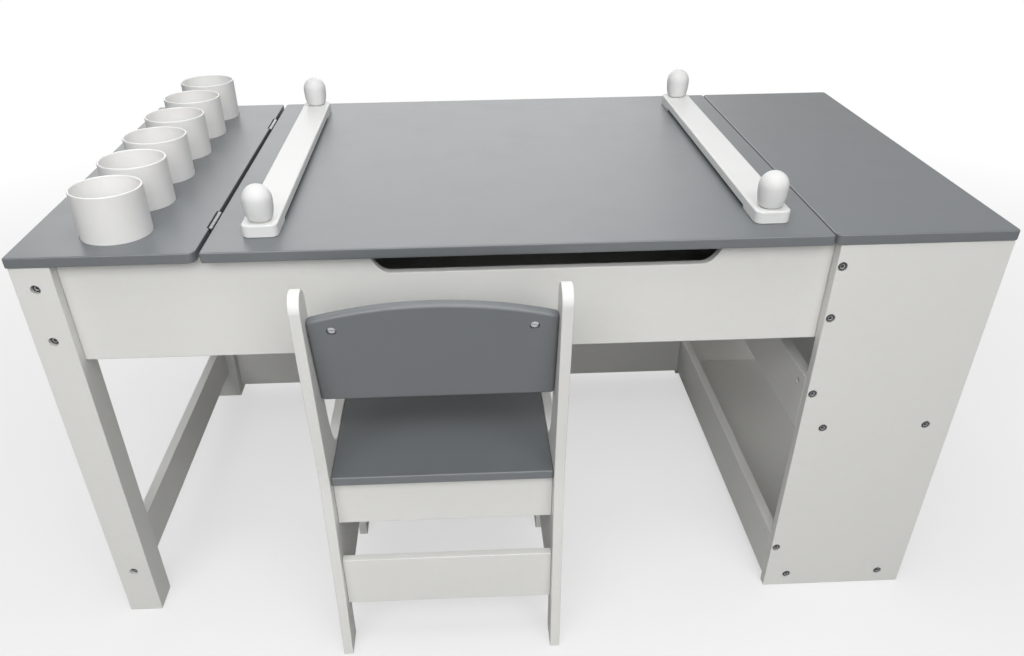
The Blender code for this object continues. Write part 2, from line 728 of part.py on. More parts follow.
# Chair: two side panels with a post at the rear, an arm level with the seat and an arched foot.
# Their rear edge steps in at the waist, from where post and leg both rake back.
front = CHAIR_REAR + CHAIR_SIDE_DEPTH
foot_top = CHAIR_ARCH - CHAIR_ARCH_RADIUS
crown = CHAIR_POST_TOP / 2
crown_z = CHAIR_HEIGHT - crown
neck = (CHAIR_REAR + CHAIR_POST_TOP, crown_z - 0.010)
root = (CHAIR_REAR + CHAIR_POST_ROOT, CHAIR_ARM_HEIGHT + CHAIR_POST_BEND_HEIGHT)
arm_start = (CHAIR_REAR + CHAIR_ARM_START, CHAIR_ARM_HEIGHT)
bend = (root[0] + 0.011, CHAIR_ARM_HEIGHT + 0.004)
side_outline = [(CHAIR_REAR, 0.0), (CHAIR_REAR + CHAIR_FOOT, 0.0)]
side_outline += arc(CHAIR_REAR + CHAIR_FOOT + CHAIR_ARCH_RADIUS, foot_top, CHAIR_ARCH_RADIUS, 180, 90, 4)
side_outline += arc(front - CHAIR_FOOT - CHAIR_ARCH_RADIUS, foot_top, CHAIR_ARCH_RADIUS, 90, 0, 4)
side_outline += [(front - CHAIR_FOOT, 0.0), (front, 0.0)]
arm_corner = CHAIR_ARM_CORNER
side_outline += arc(front - arm_corner, CHAIR_ARM_HEIGHT - arm_corner, arm_corner, 0, 90, 4)
side_outline += slope_between(arm_start, root, bend, 7)
side_outline += [neck]
side_outline += arc(CHAIR_REAR + crown, crown_z, crown, 0, 180, 8)
waist = (CHAIR_REAR + CHAIR_WAIST, CHAIR_WAIST_HEIGHT)
above_step = CHAIR_WAIST * (1 - CHAIR_WAIST_CURVE / (crown_z - CHAIR_WAIST_HEIGHT))
below_step = CHAIR_WAIST * (1 - CHAIR_WAIST_CURVE / CHAIR_WAIST_HEIGHT)
above = (CHAIR_REAR + above_step, CHAIR_WAIST_HEIGHT + CHAIR_WAIST_CURVE)
below = (CHAIR_REAR + below_step, CHAIR_WAIST_HEIGHT - CHAIR_WAIST_CURVE)
side_outline += slope_between(above, below, waist, 4)
chair_pieces = []
for side, x in (("left", CHAIR_LEFT + CHAIR_BOARD / 2), ("right", CHAIR_RIGHT - CHAIR_BOARD / 2)):
    name = "chair_side_" + side
    mesh = outline_mesh(name, side_outline, CHAIR_BOARD)
    chair_pieces.append(ease_edges(place(name, mesh, at(x, 0.0), WHITE_PAINT, FACING_RIGHT)))

inner_left = CHAIR_INNER_LEFT + GAP
inner_right = CHAIR_INNER_RIGHT - GAP
seat_under = SEAT_HEIGHT - SEAT_THICKNESS
chair_pieces.append(
    board(
        "chair_seat",
        (inner_left, CHAIR_REAR + SEAT_INSET, seat_under),
        (inner_right, front - 0.002, SEAT_HEIGHT),
        GREY_PAINT,
        0.0015,
    )
)
apron_z = seat_under - GAP - CHAIR_RAIL_HEIGHT
stretcher_y = CHAIR_REAR + CHAIR_STRETCHER_INSET
for name, y, z, height in (
    ("chair_rear_apron", CHAIR_REAR + CHAIR_RAIL_INSET, apron_z, CHAIR_RAIL_HEIGHT),
    ("chair_front_apron", front - CHAIR_RAIL_INSET - THIN_BOARD, apron_z, CHAIR_RAIL_HEIGHT),
    ("chair_stretcher", stretcher_y, CHAIR_STRETCHER_FLOOR_GAP, CHAIR_STRETCHER_HEIGHT),
):
    low = (inner_left, y, z)
    high = (inner_right, y + THIN_BOARD, z + height)
    chair_pieces.append(board(name, low, high, WHITE_PAINT))

# Backrest: a straight lower edge and a curved top, leaning back between the posts
half = (inner_right - inner_left) / 2
crown_radius = (half**2 + BACKREST_CROWN**2) / (2 * BACKREST_CROWN)
spread = math.degrees(math.asin(half / crown_radius))
backrest_outline = [(-half, 0.0), (half, 0.0)]
top_centre = BACKREST_SIDE_HEIGHT + BACKREST_CROWN - crown_radius
backrest_outline += arc(0.0, top_centre, crown_radius, 90 - spread, 90 + spread, 12)
tilt = math.radians(BACKREST_TILT)
middle_x = (CHAIR_LEFT + CHAIR_RIGHT) / 2
rear_y = CHAIR_REAR + BACKREST_INSET
lean = Matrix.Rotation(math.radians(90) + tilt, 4, "X")
backrest_place = Matrix.Translation(at(middle_x, rear_y, BACKREST_BOTTOM)) @ lean
backrest_mesh = outline_mesh("chair_backrest", backrest_outline, CHAIR_BOARD)
backrest = place("chair_backrest", backrest_mesh, (0, 0, 0), GREY_PAINT)
backrest.matrix_world = backrest_place @ Matrix.Translation((0.0, 0.0, -CHAIR_BOARD / 2))
ease_edges(backrest, 0.0015)
chair_pieces.append(backrest)
for side, sign in (("left", -1), ("right", 1)):
    name = "backrest_nut_" + side
    spot = Matrix.Translation((sign * (half - NUT_SIDE_INSET), BACKREST_SIDE_HEIGHT - NUT_BELOW_TOP, 0.0))
    seatings = cylinder_mesh(name + "_hole", NUT_RADIUS + 0.0004, 2 * (NUT_LENGTH + GAP), 16)
    cutter = place_cutter(name + "_hole", seatings, (0, 0, 0))
    cutter.matrix_world = backrest_place @ spot
    cut(backrest, cutter)
    nut = place(name, cylinder_mesh(name, NUT_RADIUS, NUT_LENGTH - 0.0006, 16), (0, 0, 0), BRIGHT_STEEL)
    nut.matrix_world = backrest_place @ spot @ Matrix.Translation((0.0, 0.0, -NUT_LENGTH / 2 - 0.0003))
    ease_edges(nut, 0.0005)
    groove = place_cutter(name + "_groove", box_mesh(name + "_groove", (0.0016, 0.02, 0.003)), (0, 0, 0))
    groove.matrix_world = backrest_place @ spot
    cut(nut, groove)
    chair_pieces.append(nut)


def axis_empty(name, location, parent=None):
    empty = bpy.data.objects.new(name, None)
    empty.location = location
    empty.empty_display_size = 0.03
    PIECES.objects.link(empty)
    if parent:
        attach(empty, parent)
    return empty


def attach(child, parent):
    """Parents child without moving it."""
    bpy.context.view_layer.update()
    child.parent = parent
    child.matrix_parent_inverse = parent.matrix_world.inverted()


# Empties on the joint axes: the lid's hinge line, the paper rails' lift, the chair
lid_axis = axis_empty("lid_axis", at(HINGE_X, DESK_DEPTH / 2, HINGE_Z))
for piece in [lid_panel] + lid_leaves:
    attach(piece, lid_axis)
for side, (x, rail) in paper_rails.items():
    lift = axis_empty(f"paper_rail_{side}_lift", at(x, PAPER_RAIL_MIDDLE, DESK_HEIGHT), lid_axis)
    attach(rail, lift)
    for end in ("front", "back"):
        attach(knobs[f"knob_{side}_{end}"], lift)
chair_axis = axis_empty("chair_axis", at(middle_x, CHAIR_REAR + CHAIR_SIDE_DEPTH / 2, 0.0))
for piece in chair_pieces:
    attach(piece, chair_axis)

# Shade the round pieces smooth
for piece in PIECES.objects:
    if piece.type == "MESH" and piece.modifiers.get("turned"):
        piece.data.shade_smooth()
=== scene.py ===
"""Finish of the kids activity desk: painted boards, gloss paper rails, plastic cups and steel fittings."""

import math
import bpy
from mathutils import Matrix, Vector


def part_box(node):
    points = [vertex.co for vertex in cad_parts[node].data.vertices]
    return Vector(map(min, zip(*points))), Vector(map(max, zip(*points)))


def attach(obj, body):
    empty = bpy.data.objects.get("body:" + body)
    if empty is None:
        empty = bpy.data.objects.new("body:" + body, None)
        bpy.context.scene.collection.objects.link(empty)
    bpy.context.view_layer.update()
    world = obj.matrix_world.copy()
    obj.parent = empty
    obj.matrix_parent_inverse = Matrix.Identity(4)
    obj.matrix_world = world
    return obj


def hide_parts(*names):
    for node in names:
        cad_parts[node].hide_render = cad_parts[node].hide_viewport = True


bl_info = {
    "name": "Kids Activity Desk",
    "version": (1, 0, 0),
    "blender": (4, 5, 0),
    "location": "View3D > Sidebar > Desk",
    "description": "Builds the finished pieces of a kids activity desk with its chair",
    "category": "Object",
}

import bmesh
import bpy
from bpy.props import FloatProperty, FloatVectorProperty, IntProperty, PointerProperty
from mathutils import Euler, Matrix, Vector

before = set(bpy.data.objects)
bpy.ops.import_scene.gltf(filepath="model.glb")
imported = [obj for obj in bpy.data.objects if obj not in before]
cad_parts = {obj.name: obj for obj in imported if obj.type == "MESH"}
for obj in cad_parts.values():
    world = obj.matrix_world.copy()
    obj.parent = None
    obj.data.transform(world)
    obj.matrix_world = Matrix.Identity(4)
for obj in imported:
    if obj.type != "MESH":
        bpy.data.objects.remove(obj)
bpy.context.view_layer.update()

UP = Vector((0.0, 0.0, 1.0))
BACK = Vector((0.0, 1.0, 0.0))
RIGHT = Vector((1.0, 0.0, 0.0))
ORIGIN = Vector((0.0, 0.0, 0.0))


# Sizes and colours that a user would change


def edge_radius(name, description, default):
    return FloatProperty(name=name, description=description, default=default, unit="LENGTH")


def colour_choice(name, description, default):
    return FloatVectorProperty(name=name, description=description, default=default, subtype="COLOR")


def lamp_power(name, description, default):
    return FloatProperty(name=name, description=description, default=default, unit="POWER")


def light_level(name, description, default, **limits):
    return FloatProperty(name=name, description=description, default=default, min=0.0, **limits)


class DESK_PG_details(bpy.types.PropertyGroup):
    board_edge: edge_radius("Board edge", "Radius of the boards' eased edges", 0.0012)
    top_edge: edge_radius("Top edge", "Radius of the edges of the grey panels", 0.0018)
    seat_edge: edge_radius("Seat edge", "Radius of the edges of the chair's seat", 0.0020)
    backrest_edge: edge_radius("Backrest edge", "Radius of the backrest's edges", 0.0042)
    rail_edge: edge_radius("Rail edge", "Radius along the paper rails' upper edges", 0.0022)
    rim: edge_radius("Cup rim", "Radius of the cups' rounded rim", 0.0011)
    turning_sides: IntProperty(
        name="Turning sides", description="Faces round a turned piece", default=72, min=24
    )


class DESK_PG_paints(bpy.types.PropertyGroup):
    grey: colour_choice("Grey", "Paint of tops, seat and backrest", (0.146, 0.157, 0.165))
    white: colour_choice("White", "Satin paint of the boards", (0.78, 0.775, 0.75))
    gloss: colour_choice("Gloss white", "Paint of paper rails and knobs", (0.77, 0.775, 0.765))
    cup: colour_choice("Cup white", "Plastic of the cups", (0.83, 0.825, 0.815))
    zinc: colour_choice("Dark zinc", "Plating of the desk's bolts", (0.09, 0.09, 0.095))
    silver: colour_choice("Bright zinc", "Plating of the nuts and studs", (0.66, 0.66, 0.67))
    sheen: light_level("Roughness", "Roughness of the grey satin paint", 0.40, max=1.0)


class DESK_PG_studio(bpy.types.PropertyGroup):
    overhead: lamp_power("Overhead", "Soft lamp above the desk", 24.0)
    front: lamp_power("Front", "Large soft lamp in front", 50.0)
    side: lamp_power("Side", "Narrow lamp at the front left", 3.0)
    window: lamp_power("Window", "Wide lamp behind the desk", 38.0)
    room: light_level("Room", "Even light from all round", 0.16)
    sheen: light_level("Sheen", "The room's brightness in reflections", 0.50)
    glow: light_level("Glow", "Brightness that the wall behind adds in reflections", 0.35)
    paleness: light_level("Paleness", "White added to the floor near the desk", 0.55, max=1.0)
    floor: colour_choice("Floor", "Colour of the floor, as seen", (0.8, 0.8, 0.8))
    bounce: light_level("Bounce", "Share of light that the floor throws back", 0.25, max=1.0)
    lens: FloatProperty(
        name="Lens", description="Focal length of the camera", default=30.52, unit="CAMERA"
    )


def details():
    return bpy.context.scene.desk_details


def paints():
    return bpy.context.scene.desk_paints


def studio():
    return bpy.context.scene.desk_studio


# Materials: a wrapped socket turns Python arithmetic into Math nodes

WHITE = (1.0, 1.0, 1.0, 1.0)


class Wire:
    """One output of a node, for use in arithmetic."""

    def __init__(self, graph, socket):
        self.graph = graph
        self.socket = socket

    def _with(self, operation, first, second):
        return self.graph.add("ShaderNodeMath", {"operation": operation}, {0: first, 1: second})

    def __add__(self, other):
        return self._with("ADD", self, other)

    def __radd__(self, other):
        return self._with("ADD", other, self)

    def __sub__(self, other):
        return self._with("SUBTRACT", self, other)

    def __rsub__(self, other):
        return self._with("SUBTRACT", other, self)

    def __mul__(self, other):
        return self._with("MULTIPLY", self, other)

    def __rmul__(self, other):
        return self._with("MULTIPLY", other, self)

    def __truediv__(self, other):
        return self._with("DIVIDE", self, other)


class Graph:
    """A node tree whose nodes are added one at a time."""

    def __init__(self, tree):
        self.tree = tree
        self.tree.nodes.clear()

    def add(self, kind, settings, inputs, output=0):
        """Adds a node with its settings, then gives its sockets their values or links."""
        node = self.tree.nodes.new(kind)
        for name, value in settings.items():
            if name == "stops":
                set_stops(node.color_ramp, value)
            else:
                setattr(node, name, value)
        for key, value in inputs.items():
            if isinstance(value, Wire):
                self.tree.links.new(value.socket, node.inputs[key])
            else:
                node.inputs[key].default_value = value
        if node.outputs:
            return Wire(self, node.outputs[output])

    def ray(self, kind):
        return self.add("ShaderNodeLightPath", {}, {}, kind)


def set_stops(ramp, stops):
    """Makes the two stops of a new ramp grey, each from its (position, value)."""
    for element, (position, value) in zip(ramp.elements, stops):
        element.position = position
        element.color = (value, value, value, 1.0)


class Finish(Graph):
    """A material and short methods for the nodes that the finishes use."""

    def __init__(self, name):
        self.material = bpy.data.materials.new(name)
        self.material.use_nodes = True
        super().__init__(self.material.node_tree)

    def place(self):
        return self.add("ShaderNodeTexCoord", {}, {}, "Object")

    def noise(self, where, scale, detail, roughness=0.5):
        inputs = {"Vector": where, "Scale": scale, "Detail": detail, "Roughness": roughness}
        return self.add("ShaderNodeTexNoise", {"noise_dimensions": "3D"}, inputs, "Fac")

    def stretched(self, where, scale):
        return self.add("ShaderNodeMapping", {"vector_type": "POINT"}, {"Vector": where, "Scale": scale})

    def ramp(self, factor, *stops):
        return self.add("ShaderNodeValToRGB", {"stops": stops}, {"Fac": factor}, "Color")

    def mix(self, factor, first, second):
        """Mixes two colours. The node's sockets share names, so they go by number."""
        settings = {"data_type": "RGBA", "blend_type": "MIX"}
        return self.add("ShaderNodeMix", settings, {0: factor, 6: first, 7: second}, 2)

    def bump(self, height, strength, distance):
        return self.add("ShaderNodeBump", {}, {"Strength": strength, "Distance": distance, "Height": height})

    def principled(self, **inputs):
        named = {key.replace("_", " "): value for key, value in inputs.items()}
        return self.add("ShaderNodeBsdfPrincipled", {}, named)

    def end(self, shader):
        self.add("ShaderNodeOutputMaterial", {}, {"Surface": shader})
        return self.material


def shade(colour, factor):
    return (*[min(1.0, channel * factor) for channel in tuple(colour)[:3]], 1.0)


def swing(pattern, amount):
    """A pattern of 0 to 1 brought to swing by half of amount to each side of zero."""
    return (pattern - 0.5) * amount


def satin_paint(name, colour, roughness, gloss, unevenness):
    """Sprayed satin paint on fibreboard: faint stipple, soft clouds of sheen and a few smudges."""
    mat = Finish(name)
    where = mat.place()
    clouds = mat.noise(where, scale=5.0, detail=3.0)
    mottle = mat.noise(where, scale=70.0, detail=4.0, roughness=0.6)
    orange_peel = mat.noise(where, scale=620.0, detail=2.0)
    fibre = mat.noise(where, scale=2100.0, detail=2.0, roughness=0.7)
    smears = mat.noise(where, scale=16.0, detail=5.0, roughness=0.62)
    tone = mat.ramp(clouds * 0.6 + mottle * 0.4, (0.3, 0.0), (0.7, 1.0))
    base = mat.mix(tone, shade(colour, 1 - unevenness), shade(colour, 1 + unevenness))
    smudge = mat.ramp(smears, (0.48, 0.0), (0.66, 1.0))
    rough = roughness + swing(clouds, 0.03) + swing(mottle, 0.03) + smudge * 0.02
    normal = mat.bump(orange_peel * 0.7 + fibre * 0.3, strength=0.16, distance=0.0004)
    return mat.end(mat.principled(Base_Color=base, Roughness=rough, Normal=normal, Specular_IOR_Level=gloss))


def gloss_paint(name, colour):
    """Thick soft gloss paint: slight waves and a few pinholes."""
    mat = Finish(name)
    where = mat.place()
    waves = mat.noise(where, scale=140.0, detail=2.0)
    clouds = mat.noise(where, scale=22.0, detail=3.0)
    pores = mat.noise(where, scale=900.0, detail=1.0)
    base = mat.mix(clouds, shade(colour, 0.975), shade(colour, 1.02))
    pinholes = mat.ramp(pores, (0.24, 0.0), (0.30, 1.0))
    rough = 0.38 + swing(clouds, 0.08)
    normal = mat.bump(waves * 0.8 + pinholes * 0.2, strength=0.10, distance=0.0006)
    return mat.end(mat.principled(Base_Color=base, Roughness=rough, Normal=normal, Specular_IOR_Level=0.1))


def cup_plastic(name, colour):
    """Moulded plastic with a fine sparked texture and soft gloss."""
    mat = Finish(name)
    where = mat.place()
    clouds = mat.noise(where, scale=18.0, detail=2.0)
    texture = mat.noise(where, scale=1500.0, detail=2.0)
    flow = mat.noise(mat.stretched(where, (1.0, 1.0, 0.15)), scale=160.0, detail=2.0)
    shader = mat.principled(
        Base_Color=mat.mix(clouds, shade(colour, 0.98), shade(colour, 1.015)),
        Roughness=0.33 + swing(clouds, 0.08) + swing(flow, 0.05),
        Normal=mat.bump(texture * 0.6 + flow * 0.4, strength=0.10, distance=0.0003),
        Subsurface_Weight=0.06,
        Subsurface_Scale=0.002,
    )
    return mat.end(shader)


def plated_steel(name, colour, roughness, grain, highlit=None):
    """Plated steel: crystalline patches, tool marks along grain, and lighter metal round the socket as a
    painted highlight.
    """
    mat = Finish(name)
    where = mat.place()
    patches = mat.noise(where, scale=420.0, detail=3.0)
    marks = mat.noise(mat.stretched(where, grain), scale=300.0, detail=3.0, roughness=0.7)
    base = mat.mix(patches, shade(colour, 0.78), shade(colour, 1.2))
    if highlit:
        # Silver round the socket: a painted highlight where the head catches light.
        wear = mat.add("ShaderNodeAttribute", {"attribute_name": "wear"}, {}, "Fac")
        base = mat.mix(wear, base, shade(highlit, 1.0))
    rough = roughness + swing(marks, 0.25) + swing(patches, 0.10)
    normal = mat.bump(marks, strength=0.15, distance=0.0002)
    return mat.end(mat.principled(Base_Color=base, Metallic=0.95, Roughness=rough, Normal=normal))


FINE_ALONG_DEPTH = (1.0, 4.0, 1.0)
LONG_ALONG_DEPTH = (1.0, 0.2, 1.0)

MAKERS = {
    "satin_grey": lambda: satin_paint(
        "satin_grey_paint", paints().grey, paints().sheen, gloss=0.8, unevenness=0.025
    ),
    "satin_white": lambda: satin_paint(
        "satin_white_paint", paints().white, paints().sheen + 0.05, gloss=0.4, unevenness=0.018
    ),
    "gloss_white": lambda: gloss_paint("gloss_white_paint", paints().gloss),
    "cup_white": lambda: cup_plastic("cup_plastic", paints().cup),
    # The dark zinc bolts get silver round their sockets as a painted highlight.
    "dark_zinc": lambda: plated_steel(
        "dark_zinc_steel", paints().zinc, 0.36, FINE_ALONG_DEPTH, highlit=paints().silver
    ),
    "bright_zinc": lambda: plated_steel("bright_zinc_steel", paints().silver, 0.46, LONG_ALONG_DEPTH),
    "hinge_zinc": lambda: plated_steel(
        "hinge_zinc_steel", shade(paints().silver, 0.4), 0.34, LONG_ALONG_DEPTH
    ),
}
MADE_FINISHES = {}


def finish(name):
    """The material of that name, made on first use."""
    if name not in MADE_FINISHES:
        MADE_FINISHES[name] = MAKERS[name]()
    return MADE_FINISHES[name]


# Modelling steps

SHARP_ANGLE = math.radians(50)
SHORTEST_UPRIGHT = 0.005
SAME_SPOT = 0.001
CORNER_SEGMENTS = 6
EDGE_SEGMENTS = 3
CUTTER_LEAD = 0.004
HOLE_SIDES = 40


def deselect():
    if bpy.context.mode != "OBJECT":
        bpy.ops.object.mode_set(mode="OBJECT")
    bpy.ops.object.select_all(action="DESELECT")


def activate(piece):
    deselect()
    piece.select_set(True)
    bpy.context.view_layer.objects.active = piece


def settle(piece):
    """Puts the piece's place into its mesh."""
    activate(piece)
    bpy.ops.object.transform_apply(location=True, rotation=True, scale=True)


def select_edges(piece, wanted):
    """In edit mode, selects the edges for which wanted(edge) is true."""
    bpy.ops.mesh.select_mode(type="EDGE")
    bpy.ops.mesh.select_all(action="DESELECT")
    mesh = bmesh.from_edit_mesh(piece.data)
    for edge in mesh.edges:
        edge.select_set(bool(wanted(edge)))
    bmesh.update_edit_mesh(piece.data)


def upright(edge):
    return abs(edge.verts[0].co.z - edge.verts[1].co.z) > SHORTEST_UPRIGHT


def sharp(edge):
    return len(edge.link_faces) == 2 and edge.calc_face_angle() > SHARP_ANGLE


def bevel_edges(piece, wanted, width, segments=EDGE_SEGMENTS):
    activate(piece)
    bpy.ops.object.mode_set(mode="EDIT")
    select_edges(piece, wanted)
    bpy.ops.mesh.bevel(offset=width, segments=segments, affect="EDGES", clamp_overlap=True)
    bpy.ops.object.mode_set(mode="OBJECT")


def round_corner(piece, corner, radius):
    """Rounds the upright edge of a plain block that stands over the point corner."""

    def there(edge):
        return upright(edge) and all((v.co.xy - corner.xy).length < SAME_SPOT for v in edge.verts)

    bevel_edges(piece, there, radius, CORNER_SEGMENTS)


def apply(piece, kind, **settings):
    """Adds a modifier with these settings and applies it."""
    activate(piece)
    modifier = piece.modifiers.new("step", kind)
    for name, value in settings.items():
        setattr(modifier, name, value)
    bpy.ops.object.modifier_apply(modifier=modifier.name)


def join(pieces):
    """Joins the pieces into the first one."""
    deselect()
    for piece in pieces:
        piece.select_set(True)
    bpy.context.view_layer.objects.active = pieces[0]
    bpy.ops.object.join()
    return pieces[0]


def cut(piece, cutter):
    """Cuts the cutter out of the piece and removes the cutter."""
    apply(piece, "BOOLEAN", operation="DIFFERENCE", object=cutter, solver="EXACT")
    bpy.data.objects.remove(cutter)


def smooth(piece, angle=35.0):
    """Smooth shading up to angle, with normals that follow the larger faces."""
    activate(piece)
    bpy.ops.object.shade_smooth_by_angle(angle=math.radians(angle))
    apply(piece, "WEIGHTED_NORMAL", keep_sharp=True, weight=60)


def finished(piece, name, body, material, *nodes):
    """Names the piece, gives it its material and body, and lets it stand for its CAD nodes."""
    settle(piece)
    piece.name = name
    piece.data.name = name
    piece.data.materials.clear()
    piece.data.materials.append(finish(material))
    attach(piece, body)
    if nodes:
        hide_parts(*nodes)
    deselect()


def added(operator, **settings):
    """The object that an operator adds, with its place put into its mesh."""
    deselect()
    operator(**settings)
    piece = bpy.context.object
    settle(piece)
    return piece


def block(low, high):
    """A plain block between two corners, ready for shaping."""
    low, high = Vector(low), Vector(high)
    return added(bpy.ops.mesh.primitive_cube_add, size=1.0, location=(low + high) / 2, scale=high - low)


def rod(centre, axis, radius, length, sides):
    """A round cutter or bar, centred, along axis."""
    turn = UP.rotation_difference(Vector(axis)).to_euler()
    cylinder = bpy.ops.mesh.primitive_cylinder_add
    return added(cylinder, vertices=sides, radius=radius, depth=length, location=centre, rotation=turn)


def turned(rings, sides=None):
    """A solid turned about Z. Its (radius, height) rings run from the middle of one end to the other's."""
    radius, height = rings[0]
    circle = bpy.ops.mesh.primitive_circle_add
    sides = sides or details().turning_sides
    piece = added(circle, vertices=sides, radius=radius, fill_type="NGON", location=UP * height)
    bpy.ops.object.mode_set(mode="EDIT")
    bpy.ops.mesh.select_mode(type="EDGE")
    bpy.ops.mesh.select_all(action="SELECT")
    for next_radius, next_height in rings[1:]:
        bpy.ops.mesh.extrude_edges_move()
        bpy.ops.transform.translate(value=(0.0, 0.0, next_height - height))
        grow = next_radius / radius
        bpy.ops.transform.resize(value=(grow, grow, 1.0), center_override=(0.0, 0.0, next_height))
        radius, height = next_radius, next_height
    bpy.ops.mesh.edge_face_add()
    bpy.ops.mesh.select_all(action="SELECT")
    bpy.ops.mesh.normals_make_consistent(inside=False)
    bpy.ops.object.mode_set(mode="OBJECT")
    return piece


def plate(points, across, up, origin, thickness):
    """A flat outline of (u, v) points, with u along across and v along up, thickened along across x up."""
    through = across.cross(up) * thickness
    deselect()
    bpy.ops.mesh.primitive_circle_add(vertices=len(points), radius=1.0, fill_type="NOTHING")
    piece = bpy.context.object
    for vertex, (u, v) in zip(piece.data.vertices, points):
        vertex.co = Vector(origin) + across * u + up * v
    bpy.ops.object.mode_set(mode="EDIT")
    bpy.ops.mesh.select_all(action="SELECT")
    bpy.ops.mesh.edge_face_add()
    bpy.ops.mesh.extrude_region_move(TRANSFORM_OT_translate={"value": through})
    bpy.ops.mesh.select_all(action="SELECT")
    bpy.ops.mesh.normals_make_consistent(inside=False)
    bpy.ops.object.mode_set(mode="OBJECT")
    return piece


def arc(u, v, radius, start, end, steps):
    """Points of an arc round (u, v), from the angle start to the angle end in degrees."""
    angles = [math.radians(start + (end - start) * i / steps) for i in range(steps + 1)]
    return [(u + radius * math.cos(a), v + radius * math.sin(a)) for a in angles]


def sweep(start, end, bend, steps):
    """A smooth curve from start to end, pulled towards bend."""
    points = []
    for i in range(steps + 1):
        t = i / steps
        weights = ((1 - t) ** 2, 2 * t * (1 - t), t * t)
        points.append(tuple(sum(w * p[k] for w, p in zip(weights, (start, bend, end))) for k in (0, 1)))
    return points


def middle(node):
    low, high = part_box(node)
    return (low + high) / 2


def recess(centre, axis, radius, depth, sides=HOLE_SIDES):
    """A cutter that opens a round recess in the face through centre, whose outward normal is axis."""
    axis = Vector(axis)
    return rod(Vector(centre) + axis * (CUTTER_LEAD - depth) / 2, axis, radius, depth + CUTTER_LEAD, sides)


def drilled(piece, cutters):
    """Cuts all the cutters out of the piece at once."""
    if cutters:
        cut(piece, join(cutters))


def lumber(node, body="desk", material="satin_white", cutters=(), edge=None):
    """A board with eased edges in a CAD node's box, with its holes drilled after the edges are eased."""
    piece = block(*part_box(node))
    bevel_edges(piece, sharp, edge or details().board_edge)
    drilled(piece, list(cutters))
    smooth(piece)
    finished(piece, node + "_board", body, material, node)


def copy_to(model, name, centre, axis, spin, body, material, *nodes):
    """A copy of the model with its own mesh, set with its face at centre and facing along axis."""
    piece = model.copy()
    piece.data = model.data.copy()
    bpy.context.collection.objects.link(piece)
    turn = UP.rotation_difference(Vector(axis)).to_matrix().to_4x4()
    spun = Matrix.Rotation(math.radians(spin), 4, "Z")
    piece.matrix_world = Matrix.Translation(Vector(centre)) @ turn @ spun
    finished(piece, name, body, material, *nodes)


# Bolts and nuts

FRONT_FACE_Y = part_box("cabinet_front_panel")[0].y
BACK_FACE_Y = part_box("cabinet_back_panel")[1].y
MIDDLE_OF_DEPTH = (FRONT_FACE_Y + BACK_FACE_Y) / 2
PANEL_BOLTS = (
    "panel_bolt_wall_upper",
    "panel_bolt_wall_lower",
    "panel_bolt_mid_rail",
    "panel_bolt_mid_shelf_left",
    "panel_bolt_mid_shelf_right",
    "panel_bolt_bottom_rail",
    "panel_bolt_bottom_shelf_left",
    "panel_bolt_bottom_shelf_right",
)
POST_BOLTS = ("post_bolt_upper", "post_bolt_middle", "post_bolt_lower")
RAIL_BOLTS = {"mid_rail": "panel_bolt_mid_rail", "bottom_rail": "panel_bolt_bottom_rail"}

RECESS_RADIUS = 0.0060
PANEL_RECESS = 0.0037
POST_RECESS = 0.009
RAIL_NUT_RECESS_RADIUS = 0.0047
RAIL_NUT_RECESS = 0.012
RAIL_NUT_INSET = 0.0227
RAIL_NUT_RADIUS = 0.0044
RAIL_NUT_LENGTH = 0.0105
RAIL_NUT_SUNK = 0.0008

PANEL_BOLT_LENGTH = 0.040
PANEL_BOLT_SUNK = 0.0006
POST_BOLT_LENGTH = 0.0735
POST_BOLT_SUNK = 0.0047
CHAIR_BOLT_LENGTH = 0.020
HEAD_RADIUS = 0.0050
HEAD_HEIGHT = 0.0028
HEAD_EDGE = 0.0007
HEAD_EDGE_STEP = 0.0002
SHANK_RADIUS = 0.003
POINT_CHAMFER = 0.0008
SOCKET_RADIUS = 0.0026
SOCKET_DEPTH = 0.0019
SOCKET_TIP_RADIUS = 0.0012
SOCKET_TIP_DEPTH = 0.0023
SOCKET_SIDES = 6
COUNTERSINK_RADIUS = 0.0034
COUNTERSINK_FLOOR_RADIUS = 0.0024
COUNTERSINK_DEPTH = 0.0006
# Reach of the painted highlight round a bolt's socket
HIGHLIGHT_RADIUS = 0.0029
HIGHLIGHT_DEPTH = 0.0015
ABOVE_HEAD = 0.001
BOLT_SIDES = 48
NUT_SLOT_WIDTH = 0.0014
NUT_SLOT_DEPTH = 0.0014
NUT_EDGE = 0.0005


def mirrored(point):
    """The same spot on the back of the desk."""
    return Vector((point.x, 2 * MIDDLE_OF_DEPTH - point.y, point.z))


def bolt_spots(names):
    """Where each bolt's axis meets the front face."""
    return [Vector((middle(name).x, FRONT_FACE_Y, middle(name).z)) for name in names]


def rail_nut_spots(rail):
    """Where the cross nuts show in a cabinet rail's outer face, near its two ends."""
    low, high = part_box(rail)
    z = middle(RAIL_BOLTS[rail]).z
    return [Vector((low.x, y, z)) for y in (low.y + RAIL_NUT_INSET, high.y - RAIL_NUT_INSET)]


